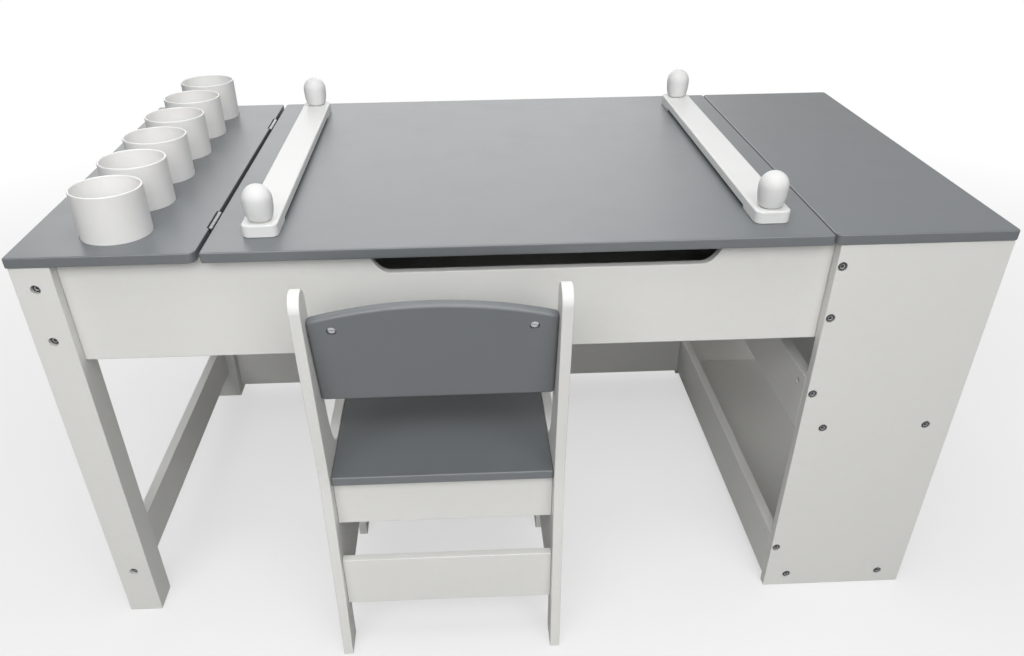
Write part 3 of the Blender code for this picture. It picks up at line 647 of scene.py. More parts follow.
def bolt(length):
    """A hex socket bolt along -Z with the top of its head at the origin."""
    profile = (
        (HEAD_RADIUS - HEAD_EDGE, 0.0),
        (HEAD_RADIUS - HEAD_EDGE_STEP, -HEAD_EDGE_STEP),
        (HEAD_RADIUS, -HEAD_EDGE),
        (HEAD_RADIUS, -HEAD_HEIGHT),
        (SHANK_RADIUS, -HEAD_HEIGHT),
        (SHANK_RADIUS, -length + POINT_CHAMFER),
        (SHANK_RADIUS - POINT_CHAMFER, -length),
    )
    socket = (
        (SOCKET_RADIUS, ABOVE_HEAD),
        (SOCKET_RADIUS, -SOCKET_DEPTH),
        (SOCKET_TIP_RADIUS, -SOCKET_TIP_DEPTH),
    )
    countersink = (
        (COUNTERSINK_RADIUS, ABOVE_HEAD),
        (COUNTERSINK_RADIUS, 0.0001),
        (COUNTERSINK_FLOOR_RADIUS, -COUNTERSINK_DEPTH),
    )
    piece = turned(profile, BOLT_SIDES)
    cut(piece, turned(socket, SOCKET_SIDES))
    cut(piece, turned(countersink, BOLT_SIDES))
    smooth(piece, 40.0)
    mark_socket_highlight(piece)
    return piece


def mark_socket_highlight(piece):
    """Gives the mesh an attribute that marks where the painted highlight goes: 1 round the socket and 0
    elsewhere.
    """
    wear = piece.data.attributes.new("wear", "FLOAT", "POINT")
    for vertex, mark in zip(piece.data.vertices, wear.data):
        highlit = vertex.co.xy.length < HIGHLIGHT_RADIUS and vertex.co.z > -HIGHLIGHT_DEPTH
        mark.value = 1.0 if highlit else 0.0


def nut(radius, length):
    """A slotted cross nut along -Z with its face at the origin."""
    profile = (
        (radius - NUT_EDGE, 0.0),
        (radius - 0.0001, -0.0002),
        (radius, -NUT_EDGE),
        (radius, -length),
    )
    piece = turned(profile, BOLT_SIDES)
    reach, half_width, above = radius * 1.2, NUT_SLOT_WIDTH / 2, 0.002
    cut(piece, block((-reach, -half_width, -NUT_SLOT_DEPTH), (reach, half_width, above)))
    smooth(piece, 40.0)
    return piece


class DESK_OT_bolts(bpy.types.Operator):
    """Bolts at the front and back of the desk, and the nuts in the cabinet's rails"""

    bl_idname = "desk.bolts"
    bl_label = "Bolts and nuts"

    def execute(self, context):
        short, long = bolt(PANEL_BOLT_LENGTH), bolt(POST_BOLT_LENGTH)
        for names, model, sunk in ((PANEL_BOLTS, short, PANEL_BOLT_SUNK), (POST_BOLTS, long, POST_BOLT_SUNK)):
            for number, (name, spot) in enumerate(zip(names, bolt_spots(names))):
                spin = 17.0 + 31.0 * number
                inward = BACK * sunk
                copy_to(model, name + "_steel", spot + inward, -BACK, spin, "desk", "dark_zinc", name)
                rear = mirrored(spot) - inward
                copy_to(model, name + "_rear", rear, BACK, spin + 24.0, "desk", "dark_zinc")
        cross = nut(RAIL_NUT_RADIUS, RAIL_NUT_LENGTH)
        for rail in RAIL_BOLTS:
            for number, spot in enumerate(rail_nut_spots(rail)):
                name = f"{rail}_nut_{number + 1}"
                copy_to(cross, name, spot + RIGHT * RAIL_NUT_SUNK, -RIGHT, 90.0, "desk", "bright_zinc")
        for model in (short, long, cross):
            bpy.data.objects.remove(model)
        return {"FINISHED"}


# Top panels

# Corner radii of each panel: front left, front right, back right, back left
PANEL_CORNERS = {
    "cup_panel": (0.002, 0.011, 0.002, 0.002),
    "lid_panel": (0.0025, 0.0025, 0.005, 0.005),
    "right_top_panel": (0.011, 0.005, 0.005, 0.005),
}
CUP_COUNT = 6
CUP_SEAT_RADIUS = 0.0436
CUP_SEAT_DEPTH = 0.003
CUP_SIDES = 96
KNUCKLE_GAP = 0.0022
KNUCKLE_END_GAP = 0.001
PAST_PANEL = 0.03
STUD_HOLE_RADIUS = 0.0034
STUD_SIDES = 24
KNOB_BODIES = {
    "left_front": "knob_lf",
    "left_back": "knob_lb",
    "right_front": "knob_rf",
    "right_back": "knob_rb",
}


def top_panel(node):
    """A panel of the top with its corners rounded and its edges eased."""
    low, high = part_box(node)
    piece = block(low, high)
    spots = ((low.x, low.y), (high.x, low.y), (high.x, high.y), (low.x, high.y))
    for (x, y), radius in zip(spots, PANEL_CORNERS[node]):
        round_corner(piece, Vector((x, y, 0.0)), radius)
    bevel_edges(piece, sharp, details().top_edge)
    return piece


class DESK_OT_top_panels(bpy.types.Operator):
    """Cup panel, lid and right panel of the top"""

    bl_idname = "desk.top_panels"
    bl_label = "Top panels"

    def execute(self, context):
        panel = top_panel("cup_panel")
        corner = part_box("cup_panel")[1]
        cups = [middle(f"cup_{i + 1}") for i in range(CUP_COUNT)]
        seats = [(cup.x, cup.y, corner.z) for cup in cups]
        drilled(panel, [recess(seat, UP, CUP_SEAT_RADIUS, CUP_SEAT_DEPTH, CUP_SIDES) for seat in seats])
        for end in ("front", "back"):
            low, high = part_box("hinge_pin_" + end)
            notch_low = low - Vector((KNUCKLE_GAP, KNUCKLE_END_GAP, PAST_PANEL))
            notch_high = Vector((corner.x + CUTTER_LEAD, high.y + KNUCKLE_END_GAP, high.z + PAST_PANEL))
            cut(panel, block(notch_low, notch_high))
        smooth(panel)
        finished(panel, "cup_panel_board", "desk", "satin_grey", "cup_panel")

        lid = top_panel("lid_panel")
        knobs = [middle("knob_" + name) for name in KNOB_BODIES]
        spots = [(knob.x, knob.y, corner.z) for knob in knobs]
        drilled(lid, [rod(spot, UP, STUD_HOLE_RADIUS, 2 * PAST_PANEL, STUD_SIDES) for spot in spots])
        smooth(lid)
        finished(lid, "lid_board", "lid", "satin_grey", "lid_panel")

        right = top_panel("right_top_panel")
        smooth(right)
        finished(right, "right_top_board", "desk", "satin_grey", "right_top_panel")
        return {"FINISHED"}


# Frame and cabinet

SLOT_FROM_LID_EDGE = 0.4095
SLOT_HALF_LENGTH = 0.216
SLOT_DEPTH = 0.0257
SLOT_RUN = 0.014
SLOT_SHOULDER = 0.004
SLOT_LIP = 0.0005
NOTCH_GAP = 0.0003
PAST_BOARD = 0.01
FLOOR_EDGE = 0.0006


def finger_slot(mid, top):
    """Outline of the finger slot as (x, z) points, with smooth ramps down to its flat bottom."""
    left = mid - SLOT_HALF_LENGTH
    floor = top - SLOT_DEPTH
    outline = [(left - SLOT_SHOULDER, top + PAST_BOARD), (left - SLOT_SHOULDER, top + SLOT_LIP)]
    foot, bend = (left + SLOT_RUN * 1.8, floor), (left + SLOT_RUN * 0.8, floor)
    outline += sweep((left, top), foot, bend, steps=10)
    return outline + [(2 * mid - x, z) for x, z in reversed(outline)]


def front_apron():
    """The front apron with the slot for the fingers that lift the lid."""
    low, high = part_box("front_apron")
    behind, through = 0.02, 0.06
    outline = finger_slot(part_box("lid_panel")[0].x + SLOT_FROM_LID_EDGE, high.z)
    apron = block(low, high)
    cut(apron, plate(outline, RIGHT, UP, (0.0, high.y + behind, 0.0), through))
    bevel_edges(apron, sharp, details().board_edge)
    smooth(apron)
    finished(apron, "front_apron_board", "desk", "satin_white", "front_apron")


def storage_floor():
    """The floor of the storage box, notched round the two left posts."""
    low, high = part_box("storage_floor")
    floor = block(low, high)
    margin = Vector((NOTCH_GAP, NOTCH_GAP, 0.0))
    for post in ("post_front_left", "post_back_left"):
        post_low, post_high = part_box(post)
        notch_low = Vector((*(post_low - margin).xy, low.z - PAST_BOARD))
        notch_high = Vector((*(post_high + margin).xy, high.z + PAST_BOARD))
        cut(floor, block(notch_low, notch_high))
    bevel_edges(floor, sharp, FLOOR_EDGE, segments=2)
    smooth(floor)
    finished(floor, "storage_floor_board", "desk", "satin_white", "storage_floor")


def bolted(node, names, depth, rear=False):
    """A board with recesses for these bolts in its outer face, at the front or the rear of the desk."""
    spots = [mirrored(spot) if rear else spot for spot in bolt_spots(names)]
    outward = BACK if rear else -BACK
    lumber(node, cutters=[recess(spot, outward, RECESS_RADIUS, depth) for spot in spots])


class DESK_OT_frame_boards(bpy.types.Operator):
    """Posts, aprons, stretchers and the floor of the storage box"""

    bl_idname = "desk.frame_boards"
    bl_label = "Frame boards"

    def execute(self, context):
        bolted("post_front_left", POST_BOLTS, POST_RECESS)
        bolted("post_back_left", POST_BOLTS, POST_RECESS, rear=True)
        for node in ("left_stretcher", "back_stretcher", "side_apron", "back_apron"):
            lumber(node)
        front_apron()
        storage_floor()
        return {"FINISHED"}


class DESK_OT_cabinet(bpy.types.Operator):
    """Panels, rails, shelves and box wall of the cabinet"""

    bl_idname = "desk.cabinet"
    bl_label = "Cabinet"

    def execute(self, context):
        bolted("cabinet_front_panel", PANEL_BOLTS, PANEL_RECESS)
        bolted("cabinet_back_panel", PANEL_BOLTS, PANEL_RECESS, rear=True)
        lumber("mid_shelf")
        lumber("bottom_shelf")
        for rail in RAIL_BOLTS:
            spots = rail_nut_spots(rail)
            lumber(rail, cutters=[recess(p, -RIGHT, RAIL_NUT_RECESS_RADIUS, RAIL_NUT_RECESS) for p in spots])
        lumber("box_right_wall")
        return {"FINISHED"}


# Cups

CUP_WALL = 0.0025
CUP_BOTTOM_EDGE = 0.0028
CUP_HOLLOW_UNDER = 0.0011
CUP_INNER_FILLET = 0.004
CUP_DRAFT = 0.0003
CUP_GATE_RADIUS = 0.004
CUP_FOOT_START = 0.010
CUP_FOOT_SLOPE = 0.0085
CUP_FOOT_SLOPE_HEIGHT = 0.0004
CUP_FOOT_FLAT = 0.007
CUP_FLOOR_INSET = 0.0045
CUP_FLOOR_RADIUS = 0.012
CUP_GATE_RISE = 0.0002


def cup_profile(outer, height):
    """Rings of a cup: under its hollow bottom, up its side, over the rim and down to its floor."""
    rim = details().rim
    inner = outer - CUP_WALL
    rings = [(CUP_GATE_RADIUS, CUP_HOLLOW_UNDER), (outer - CUP_FOOT_START, CUP_HOLLOW_UNDER)]
    rings += [(outer - CUP_FOOT_SLOPE, CUP_FOOT_SLOPE_HEIGHT), (outer - CUP_FOOT_FLAT, 0.0)]
    rings += [(outer - CUP_BOTTOM_EDGE, 0.0)]
    rings += arc(outer - CUP_BOTTOM_EDGE, CUP_BOTTOM_EDGE, CUP_BOTTOM_EDGE, -60, 0, steps=5)
    rings += [(outer, height * 0.5)]
    rings += arc(outer - rim, height - rim, rim, 0, 90, steps=4)
    rings += arc(inner + rim, height - rim, rim, 90, 180, steps=4)
    rings += [(inner - CUP_DRAFT, height * 0.5)]
    fillet_height = CUP_WALL + CUP_INNER_FILLET
    rings += arc(inner - CUP_FLOOR_INSET, fillet_height, CUP_INNER_FILLET, 0, -90, steps=6)
    return rings + [(CUP_FLOOR_RADIUS, CUP_WALL), (CUP_GATE_RADIUS, CUP_WALL + CUP_GATE_RISE)]


class DESK_OT_cups(bpy.types.Operator):
    """The six plastic cups"""

    bl_idname = "desk.cups"
    bl_label = "Cups"

    def execute(self, context):
        low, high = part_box("cup_1")
        model = turned(cup_profile((high.x - low.x) / 2, high.z - low.z), CUP_SIDES)
        smooth(model, 50.0)
        for number in range(1, CUP_COUNT + 1):
            node = f"cup_{number}"
            spot = middle(node)
            spot.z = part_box(node)[0].z
            copy_to(model, node + "_moulding", spot, UP, 40.0 * number, node + "_body", "cup_white", node)
        bpy.data.objects.remove(model)
        return {"FINISHED"}


# Paper rails and knobs

RAIL_CORNER = 0.010
RAIL_LOWER_EDGE = 0.0008
RAIL_PAD_LENGTH = 0.055
RAIL_PAD_HEIGHT = 0.0045
RAIL_PAD_CORNER = 0.003
EGG_FOOT = 0.0125
EGG_FOOT_EDGE = 0.0006
EGG_FOOT_EDGE_HEIGHT = 0.0004
EGG_WIDEST = 0.58
EGG_STEPS = 12
EGG_START_ANGLE = 88
EGG_TAPER = 2.2
KNOB_GAP = 0.0003
COUNTERSINK_MOUTH = 0.0045
COUNTERSINK_FLOOR = 0.0042
COUNTERSINK_RISE = 0.0010
STUD_RADIUS = 0.0030
STUD_TOP = (0.0026, 0.0009)
STUD_TIP_RADIUS = 0.0024
THREAD_ROOT = 0.00262
THREAD_PITCH = 0.0010


class DESK_OT_paper_rails(bpy.types.Operator):
    """The two paper rails"""

    bl_idname = "desk.paper_rails"
    bl_label = "Paper rails"

    def execute(self, context):
        for side in ("left", "right"):
            node = "paper_rail_" + side
            low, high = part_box(node)
            halfway = middle(node).z

            def upper(edge):
                return sharp(edge) and min(v.co.z for v in edge.verts) > high.z - SAME_SPOT

            def lower(edge):
                return sharp(edge) and max(v.co.z for v in edge.verts) < halfway

            def crosswise(edge):
                return abs(edge.verts[0].co.x - edge.verts[1].co.x) > SAME_SPOT

            rail = block(low, high)
            bevel_edges(rail, upright, RAIL_CORNER, segments=8)
            bevel_edges(rail, upper, details().rail_edge, segments=4)
            bevel_edges(rail, lower, RAIL_LOWER_EDGE, segments=2)
            gap_low = low + Vector((-PAST_BOARD, RAIL_PAD_LENGTH, -PAST_BOARD))
            gap_high = Vector((high.x + PAST_BOARD, high.y - RAIL_PAD_LENGTH, low.z + RAIL_PAD_HEIGHT))
            gap = block(gap_low, gap_high)
            bevel_edges(gap, crosswise, RAIL_PAD_CORNER, segments=4)
            cut(rail, gap)
            smooth(rail)
            finished(rail, node + "_bar", "rail_" + side, "gloss_white", node)
        return {"FINISHED"}


def egg_profile(height, radius):
    """Rings of a knob, from its top over its widest part to the countersink round its stud."""
    widest = EGG_WIDEST * height
    rings = []
    for step in range(EGG_STEPS + 1):
        angle = math.radians(EGG_START_ANGLE - EGG_START_ANGLE * step / EGG_STEPS)
        rings.append((radius * math.cos(angle), widest + (height - widest) * math.sin(angle)))
    for step in range(1, EGG_STEPS + 1):
        share = 1 - step / EGG_STEPS
        spread = math.sqrt(1 - (1 - share) ** EGG_TAPER)
        rings.append((EGG_FOOT + (radius - EGG_FOOT) * spread, widest * share + EGG_FOOT_EDGE_HEIGHT))
    rings += [(EGG_FOOT - EGG_FOOT_EDGE, 0.0), (COUNTERSINK_MOUTH, 0.0)]
    return rings + [(COUNTERSINK_FLOOR, COUNTERSINK_RISE), (STUD_RADIUS, COUNTERSINK_RISE)]


def stud_profile(end):
    """Rings of a threaded stud, from inside the knob down to its end."""
    rings = [STUD_TOP]
    z = 0.0
    while z - THREAD_PITCH > end + THREAD_PITCH:
        rings += [(STUD_RADIUS, z), (THREAD_ROOT, z - THREAD_PITCH / 2)]
        z -= THREAD_PITCH
    return rings + [(STUD_RADIUS, z), (STUD_TIP_RADIUS, end)]


def insert_flange():
    """The flange of a threaded insert, set under the lid round a stud."""
    profile = (
        (0.0080, 0.0002),
        (0.0080, 0.0010),
        (0.0077, 0.0013),
        (0.0046, 0.0014),
        (0.0044, 0.0028),
        (0.0036, 0.0028),
    )
    piece = turned(profile, BOLT_SIDES)
    cut(piece, rod(ORIGIN, UP, STUD_HOLE_RADIUS, 0.02, STUD_SIDES))
    smooth(piece, 40.0)
    return piece


class DESK_OT_knobs(bpy.types.Operator):
    """Egg shaped knobs with their threaded studs, and the inserts under the lid"""

    bl_idname = "desk.knobs"
    bl_label = "Knobs"

    def execute(self, context):
        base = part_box("paper_rail_left")[1].z + KNOB_GAP
        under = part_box("lid_panel")[0].z
        low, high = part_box("knob_left_front")
        egg = turned(egg_profile(high.z - base, (high.x - low.x) / 2))
        smooth(egg, 40.0)
        stud = turned(stud_profile(low.z - base), STUD_SIDES)
        smooth(stud, 20.0)
        for name, body in KNOB_BODIES.items():
            spot = middle("knob_" + name)
            spot.z = base
            copy_to(egg, f"knob_{name}_egg", spot, UP, 0.0, body, "gloss_white", "knob_" + name)
            copy_to(stud, f"knob_{name}_stud", spot, UP, 0.0, body, "bright_zinc")
        flange = insert_flange()
        for name in KNOB_BODIES:
            spot = middle("knob_" + name)
            spot.z = under
            copy_to(flange, f"stud_insert_{name}", spot, -UP, 0.0, "lid", "bright_zinc")
        for model in (egg, stud, flange):
            bpy.data.objects.remove(model)
        return {"FINISHED"}


# Hinges

SCREW_HEAD = 0.0033
SCREW_SIDES = 32
SCREW_FROM_LEAF_EDGE = 0.010
SCREW_CROSS_LENGTH = 0.0019
SCREW_CROSS_WIDTH = 0.0003
SCREW_CROSS_FLOOR = 0.0004
SCREW_GAP = 0.00005
SCREW_SHARES = (0.16, 0.5, 0.84)
SCREW_STAGGER = (-0.002, 0.003, -0.002)


def hinge_screw():
    """A countersunk cross head screw's head along Z, with the face that seats at the origin."""
    screw = turned(((SCREW_HEAD, 0.0), (SCREW_HEAD, 0.0003), (0.0030, 0.0008), (0.0018, 0.0011)), SCREW_SIDES)
    for x, y in ((SCREW_CROSS_LENGTH, SCREW_CROSS_WIDTH), (SCREW_CROSS_WIDTH, SCREW_CROSS_LENGTH)):
        cut(screw, block((-x, -y, SCREW_CROSS_FLOOR), (x, y, 0.003)))
    smooth(screw)
    return screw


class DESK_OT_hinges(bpy.types.Operator):
    """Finish of the two butt hinges, and their countersunk screws"""

    bl_idname = "desk.hinges"
    bl_label = "Hinges"

    def execute(self, context):
        for end in ("front", "back"):
            for node in ("hinge_leaf_fixed_" + end, "hinge_leaf_lid_" + end, "hinge_pin_" + end):
                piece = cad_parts[node]
                piece.data.materials.clear()
                piece.data.materials.append(finish("hinge_zinc"))
        screw = hinge_screw()
        for end in ("front", "back"):
            for leaf, body, sign in (("fixed", "desk", -1), ("lid", "lid", 1)):
                node = f"hinge_leaf_{leaf}_{end}"
                low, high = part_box(node)
                edge = low.x if sign < 0 else high.x
                for number, (share, stagger) in enumerate(zip(SCREW_SHARES, SCREW_STAGGER)):
                    x = edge + sign * (stagger - SCREW_FROM_LEAF_EDGE)
                    spot = (x, low.y + (high.y - low.y) * share, low.z - SCREW_GAP)
                    name = f"{node}_screw_{number + 1}"
                    copy_to(screw, name, spot, -UP, 20.0 + 33.0 * number, body, "bright_zinc")
        bpy.data.objects.remove(screw)
        return {"FINISHED"}


# Chair

CHAIR_LOW, CHAIR_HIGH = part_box("chair_side_left")
CHAIR_FOOT = 0.044
ARCH_HEIGHT = 0.080
ARCH_RADIUS = 0.030
ARM_HEIGHT = 0.302
ARM_RADIUS = 0.020
ARM_REAR = 0.122
POST_ROOT_DEPTH = 0.070
POST_ROOT_RISE = 0.083
POST_ROOT_BEND_Y = 0.011
POST_ROOT_BEND_RISE = 0.004
POST_TOP_DEPTH = 0.042
POST_STRAIGHT_END = 0.010
POST_CROWN = 0.021
WAIST_DEPTH = 0.020
WAIST_HEIGHT = 0.300
WAIST_CURVE = 0.030
BACKREST_TILT = 14.0
BACKREST_HEIGHT = 0.1235
BACKREST_THICKNESS = 0.0134
BACKREST_CROWN = 0.020
BACKREST_FROM_REAR = 0.046
BACKREST_BOTTOM = 0.4055
NUT_INSET = 0.0279
NUT_DROP = 0.0125
NUT_RECESS_RADIUS = 0.0057
NUT_RECESS = 0.0103
NUT_RADIUS = 0.0047
NUT_LENGTH = 0.0094
NUT_SUNK = 0.0018


def side_outline():
    """Outline of a side panel as (y, z) points: arched foot, arm level with the seat, post and waist."""
    rear, front, top = CHAIR_LOW.y, CHAIR_HIGH.y, CHAIR_HIGH.z
    points = [(rear, 0.0), (rear + CHAIR_FOOT, 0.0)]
    arch_centre = ARCH_HEIGHT - ARCH_RADIUS
    points += arc(rear + CHAIR_FOOT + ARCH_RADIUS, arch_centre, ARCH_RADIUS, 180, 90, steps=10)
    points += arc(front - CHAIR_FOOT - ARCH_RADIUS, arch_centre, ARCH_RADIUS, 90, 0, steps=10)
    points += [(front - CHAIR_FOOT, 0.0), (front, 0.0)]
    points += arc(front - ARM_RADIUS, ARM_HEIGHT - ARM_RADIUS, ARM_RADIUS, 0, 90, steps=8)
    root = (rear + POST_ROOT_DEPTH, ARM_HEIGHT + POST_ROOT_RISE)
    bend = (root[0] + POST_ROOT_BEND_Y, ARM_HEIGHT + POST_ROOT_BEND_RISE)
    points += sweep((rear + ARM_REAR, ARM_HEIGHT), root, bend, steps=16)
    points += [(rear + POST_TOP_DEPTH, top - POST_CROWN - POST_STRAIGHT_END)]
    points += arc(rear + POST_CROWN, top - POST_CROWN, POST_CROWN, 0, 180, steps=16)
    share_above = WAIST_CURVE / (top - POST_CROWN - WAIST_HEIGHT)
    share_below = WAIST_CURVE / WAIST_HEIGHT
    above = (rear + WAIST_DEPTH * (1 - share_above), WAIST_HEIGHT + WAIST_CURVE)
    below = (rear + WAIST_DEPTH * (1 - share_below), WAIST_HEIGHT - WAIST_CURVE)
    points += sweep(above, below, (rear + WAIST_DEPTH, WAIST_HEIGHT), steps=10)
    return points


def backrest_frame():
    """The middle of the backrest's lower rear edge, and the directions up the board and out of its rear."""
    tilt = math.radians(BACKREST_TILT)
    origin = Vector((middle("chair_seat").x, CHAIR_LOW.y + BACKREST_FROM_REAR, BACKREST_BOTTOM))
    up = Vector((0.0, -math.sin(tilt), math.cos(tilt)))
    return origin, up, RIGHT.cross(up)


def chair_bolt_spots():
    """The (y, z) places of the bolts in the chair's outer faces."""
    origin, up, out = backrest_frame()
    nut_at = origin + up * (BACKREST_HEIGHT - NUT_DROP) - out * BACKREST_THICKNESS / 2
    boards = [middle(node) for node in ("chair_rear_apron", "chair_front_apron", "chair_stretcher")]
    return [(spot.y, spot.z) for spot in (nut_at, *boards)]


def backrest_outline(half):
    """Outline of the backrest as (u, v) points, with a crowned top."""
    radius = (half**2 + BACKREST_CROWN**2) / (2 * BACKREST_CROWN)
    spread = math.degrees(math.asin(half / radius))
    centre = BACKREST_HEIGHT + BACKREST_CROWN - radius
    crown = arc(0.0, centre, radius, 90 - spread, 90 + spread, steps=40)
    return [(-half, 0.0), (half, 0.0)] + crown


class DESK_OT_chair_sides(bpy.types.Operator):
    """The chair's two side panels with the bolts in their outer faces"""

    bl_idname = "desk.chair_sides"
    bl_label = "Chair sides"

    def execute(self, context):
        model = bolt(CHAIR_BOLT_LENGTH)
        for side, outward in (("left", -RIGHT), ("right", RIGHT)):
            node = "chair_side_" + side
            low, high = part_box(node)
            face = low.x if side == "left" else high.x
            spots = [Vector((face, y, z)) for y, z in chair_bolt_spots()]
            panel = plate(side_outline(), BACK, UP, (low.x, 0.0, 0.0), high.x - low.x)
            bevel_edges(panel, sharp, details().board_edge)
            drilled(panel, [recess(spot, outward, RECESS_RADIUS, PANEL_RECESS) for spot in spots])
            smooth(panel)
            finished(panel, node + "_board", "chair", "satin_white", node)
            for number, spot in enumerate(spots):
                name = f"chair_bolt_{side}_{number + 1}"
                head = spot - outward * PANEL_BOLT_SUNK
                copy_to(model, name, head, outward, 13.0 + 29.0 * number, "chair", "bright_zinc")
        bpy.data.objects.remove(model)
        return {"FINISHED"}


class DESK_OT_chair_seat_and_back(bpy.types.Operator):
    """Seat, backrest, aprons and stretcher of the chair"""

    bl_idname = "desk.chair_seat_and_back"
    bl_label = "Chair seat and back"

    def execute(self, context):
        lumber("chair_seat", "chair", "satin_grey", edge=details().seat_edge)
        for node in ("chair_rear_apron", "chair_front_apron", "chair_stretcher"):
            lumber(node, "chair")
        origin, up, out = backrest_frame()
        seat_low, seat_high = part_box("chair_seat")
        half = (seat_high.x - seat_low.x) / 2
        rest = plate(backrest_outline(half), RIGHT, up, origin - out * BACKREST_THICKNESS, BACKREST_THICKNESS)
        bevel_edges(rest, sharp, details().backrest_edge, segments=5)
        across, rise = RIGHT * (half - NUT_INSET), up * (BACKREST_HEIGHT - NUT_DROP)
        spots = (origin - across + rise, origin + across + rise)
        drilled(rest, [recess(spot, out, NUT_RECESS_RADIUS, NUT_RECESS) for spot in spots])
        smooth(rest)
        finished(rest, "backrest_board", "chair", "satin_grey", "chair_backrest")
        cross = nut(NUT_RADIUS, NUT_LENGTH)
        for side, spot, spin in zip(("left", "right"), spots, (4.0, -16.0)):
            node = "backrest_nut_" + side
            copy_to(cross, node + "_steel", spot - out * NUT_SUNK, out, spin, "chair", "bright_zinc", node)
        bpy.data.objects.remove(cross)
        return {"FINISHED"}


# Stage

FLOOR_SIZE = 60.0
FLOOR_DROP = 0.0006
FADE_RANGE = 6.0
FADE_START = 0.15
FADE_END = 0.42
WALL_DIRECTION = Vector((-0.07, 0.95, 0.30)).normalized()
WALL_FALLOFF = 4.0
# Place, target, width, height and spread in degrees of each lamp. The studio holds its power, by name.
LAMPS = {
    "overhead": ((0.0, -0.3, 2.5), (0.0, -0.1, 0.4), 1.6, 1.6, 180.0),
    "front": ((0.55, -2.55, 2.05), (0.0, 0.0, 0.3), 2.4, 2.4, 180.0),
    "side": ((-1.0, -2.0, 1.6), (-0.3, -0.5, 0.2), 1.2, 1.2, 70.0),
    "window": ((-0.6, 3.2, 2.1), (-0.2, 0.0, 0.6), 3.6, 2.7, 180.0),
}
CAMERA_PLACE = (-0.0652, -1.2590, 0.9694)
CAMERA_ANGLES = (54.0443, 0.6636, -2.4809)
CAMERA_SHIFT_X = 0.0151
CAMERA_SHIFT_Y = 0.1286
SENSOR_WIDTH = 36.0
NEAREST_SEEN = 0.02


class DESK_OT_stage(bpy.types.Operator):
    """Pale floor, soft studio lamps and the camera"""

    bl_idname = "desk.stage"
    bl_label = "Stage"

    def execute(self, context):
        deselect()
        bpy.ops.mesh.primitive_plane_add(size=FLOOR_SIZE, location=(0.0, 0.0, -FLOOR_DROP))
        floor = bpy.context.object
        floor.name = "studio_floor"
        floor.data.materials.append(floor_material(studio().floor))
        for name, (place, target, width, height, spread) in LAMPS.items():
            lamp = area_lamp(name + "_lamp", place, target, width, height)
            lamp.spread = math.radians(spread)
            lamp.energy = getattr(studio(), name)
        room_light(context)
        photo_camera(context)
        context.scene.view_settings.view_transform = "Standard"
        return {"FINISHED"}


def area_lamp(name, place, target, width, height):
    """The light of a new rectangular lamp at place that faces target."""
    deselect()
    aim = (Vector(target) - Vector(place)).to_track_quat("-Z", "Y").to_euler()
    bpy.ops.object.light_add(type="AREA", location=place, rotation=aim)
    bpy.context.object.name = name
    light = bpy.context.object.data
    light.shape = "RECTANGLE"
    light.size = width
    light.size_y = height
    return light


def photo_camera(context):
    """The camera, where the photograph was taken from."""
    angles = Euler([math.radians(angle) for angle in CAMERA_ANGLES])
    bpy.ops.object.camera_add(location=CAMERA_PLACE, rotation=angles)
    camera = bpy.context.object
    camera.name = "photo_camera"
    camera.data.sensor_width = SENSOR_WIDTH
    camera.data.lens = studio().lens
    camera.data.shift_x = CAMERA_SHIFT_X
    camera.data.shift_y = CAMERA_SHIFT_Y
    camera.data.clip_start = NEAREST_SEEN
    context.scene.camera = camera


def floor_material(colour):
    """Matt floor that keeps shadows near the desk and fades to white further off, for the camera only."""
    mat = Finish("floor_paper")
    where = mat.place()
    away = mat.add("ShaderNodeVectorMath", {"operation": "LENGTH"}, {0: where}, "Value")
    far = mat.ramp(away / FADE_RANGE, (FADE_START, studio().paleness), (FADE_END, 1.0))
    grain = mat.noise(where, scale=300.0, detail=2.0)
    base = mat.mix(mat.ray("Is Diffuse Ray"), (*colour, 1.0), shade(WHITE, studio().bounce))
    normal = mat.bump(grain, strength=0.05, distance=0.0005)
    paper = mat.principled(Base_Color=base, Roughness=0.7, Normal=normal)
    glow = mat.add("ShaderNodeEmission", {}, {"Color": WHITE, "Strength": 1.0})
    whiteness = far * mat.ray("Is Camera Ray")
    return mat.end(mat.add("ShaderNodeMixShader", {}, {0: whiteness, 1: paper, 2: glow}))


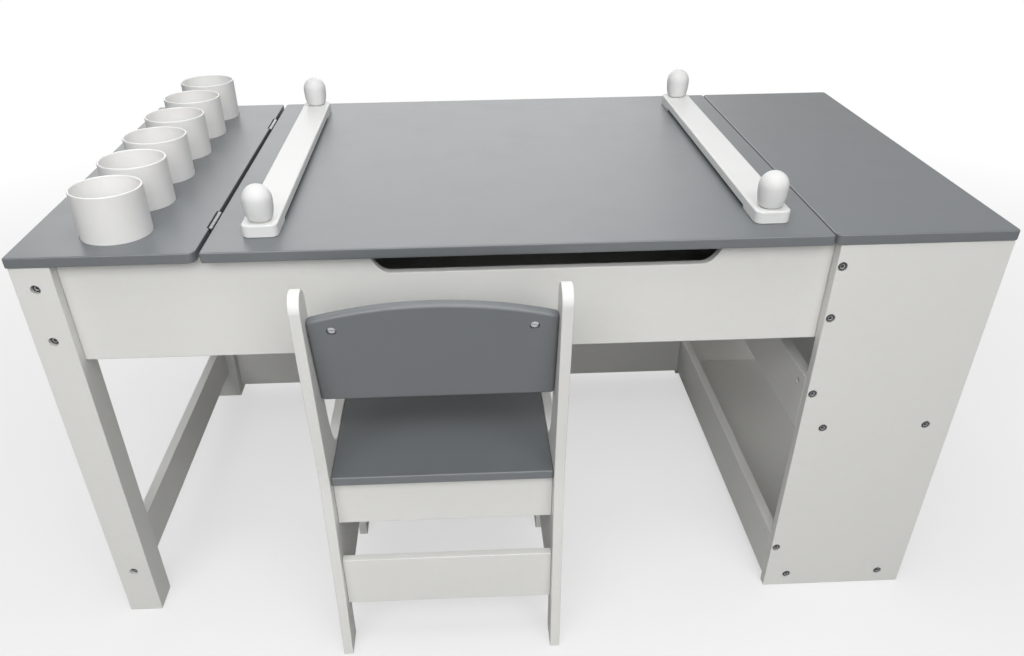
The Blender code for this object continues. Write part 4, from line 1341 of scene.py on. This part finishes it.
def room_light(context):
    """Plain white surroundings: full white for the camera, and in reflections brighter behind the desk."""
    world = bpy.data.worlds.new("studio_room")
    context.scene.world = world
    world.use_nodes = True
    sky = Graph(world.node_tree)
    direction = sky.add("ShaderNodeTexCoord", {}, {}, "Generated")
    settings = {"operation": "DOT_PRODUCT"}
    facing = sky.add("ShaderNodeVectorMath", settings, {0: direction, 1: WALL_DIRECTION}, "Value")
    facing = sky.add("ShaderNodeMath", {"operation": "MAXIMUM"}, {0: facing, 1: 0.0})
    wall = sky.add("ShaderNodeMath", {"operation": "POWER"}, {0: facing, 1: WALL_FALLOFF})
    camera, glossy = sky.ray("Is Camera Ray"), sky.ray("Is Glossy Ray")
    reflected = wall * studio().glow + studio().sheen
    level = camera + glossy * reflected + (1.0 - camera) * (1.0 - glossy) * studio().room
    background = sky.add("ShaderNodeBackground", {}, {"Color": WHITE, "Strength": level})
    sky.add("ShaderNodeOutputWorld", {}, {"Surface": background})


PIECES = (
    DESK_OT_top_panels,
    DESK_OT_frame_boards,
    DESK_OT_cabinet,
    DESK_OT_bolts,
    DESK_OT_cups,
    DESK_OT_paper_rails,
    DESK_OT_knobs,
    DESK_OT_hinges,
    DESK_OT_chair_sides,
    DESK_OT_chair_seat_and_back,
    DESK_OT_stage,
)


class DESK_PT_sidebar(bpy.types.Panel):
    """Lists the desk's pieces and their sizes and colours"""

    bl_idname = "DESK_PT_sidebar"
    bl_label = "Kids Activity Desk"
    bl_space_type = "VIEW_3D"
    bl_region_type = "UI"
    bl_category = "Desk"

    def draw(self, context):
        for operator in PIECES:
            self.layout.operator(operator.bl_idname)
        for group in (details(), paints(), studio()):
            box = self.layout.box()
            for name in group.__annotations__:
                box.prop(group, name)


GROUPS = (
    ("desk_details", DESK_PG_details),
    ("desk_paints", DESK_PG_paints),
    ("desk_studio", DESK_PG_studio),
)


def register():
    for name, group in GROUPS:
        bpy.utils.register_class(group)
        setattr(bpy.types.Scene, name, PointerProperty(type=group))
    for operator in PIECES:
        bpy.utils.register_class(operator)
    bpy.utils.register_class(DESK_PT_sidebar)


def unregister():
    bpy.utils.unregister_class(DESK_PT_sidebar)
    for operator in reversed(PIECES):
        bpy.utils.unregister_class(operator)
    for name, group in reversed(GROUPS):
        delattr(bpy.types.Scene, name)
        bpy.utils.unregister_class(group)


def main():
    register()
    for operator in PIECES:
        group, action = operator.bl_idname.split(".")
        result = getattr(getattr(bpy.ops, group), action)()
        if result != {"FINISHED"}:
            raise RuntimeError(f"{operator.bl_idname} did not finish")


if __name__ == "__main__":
    main()
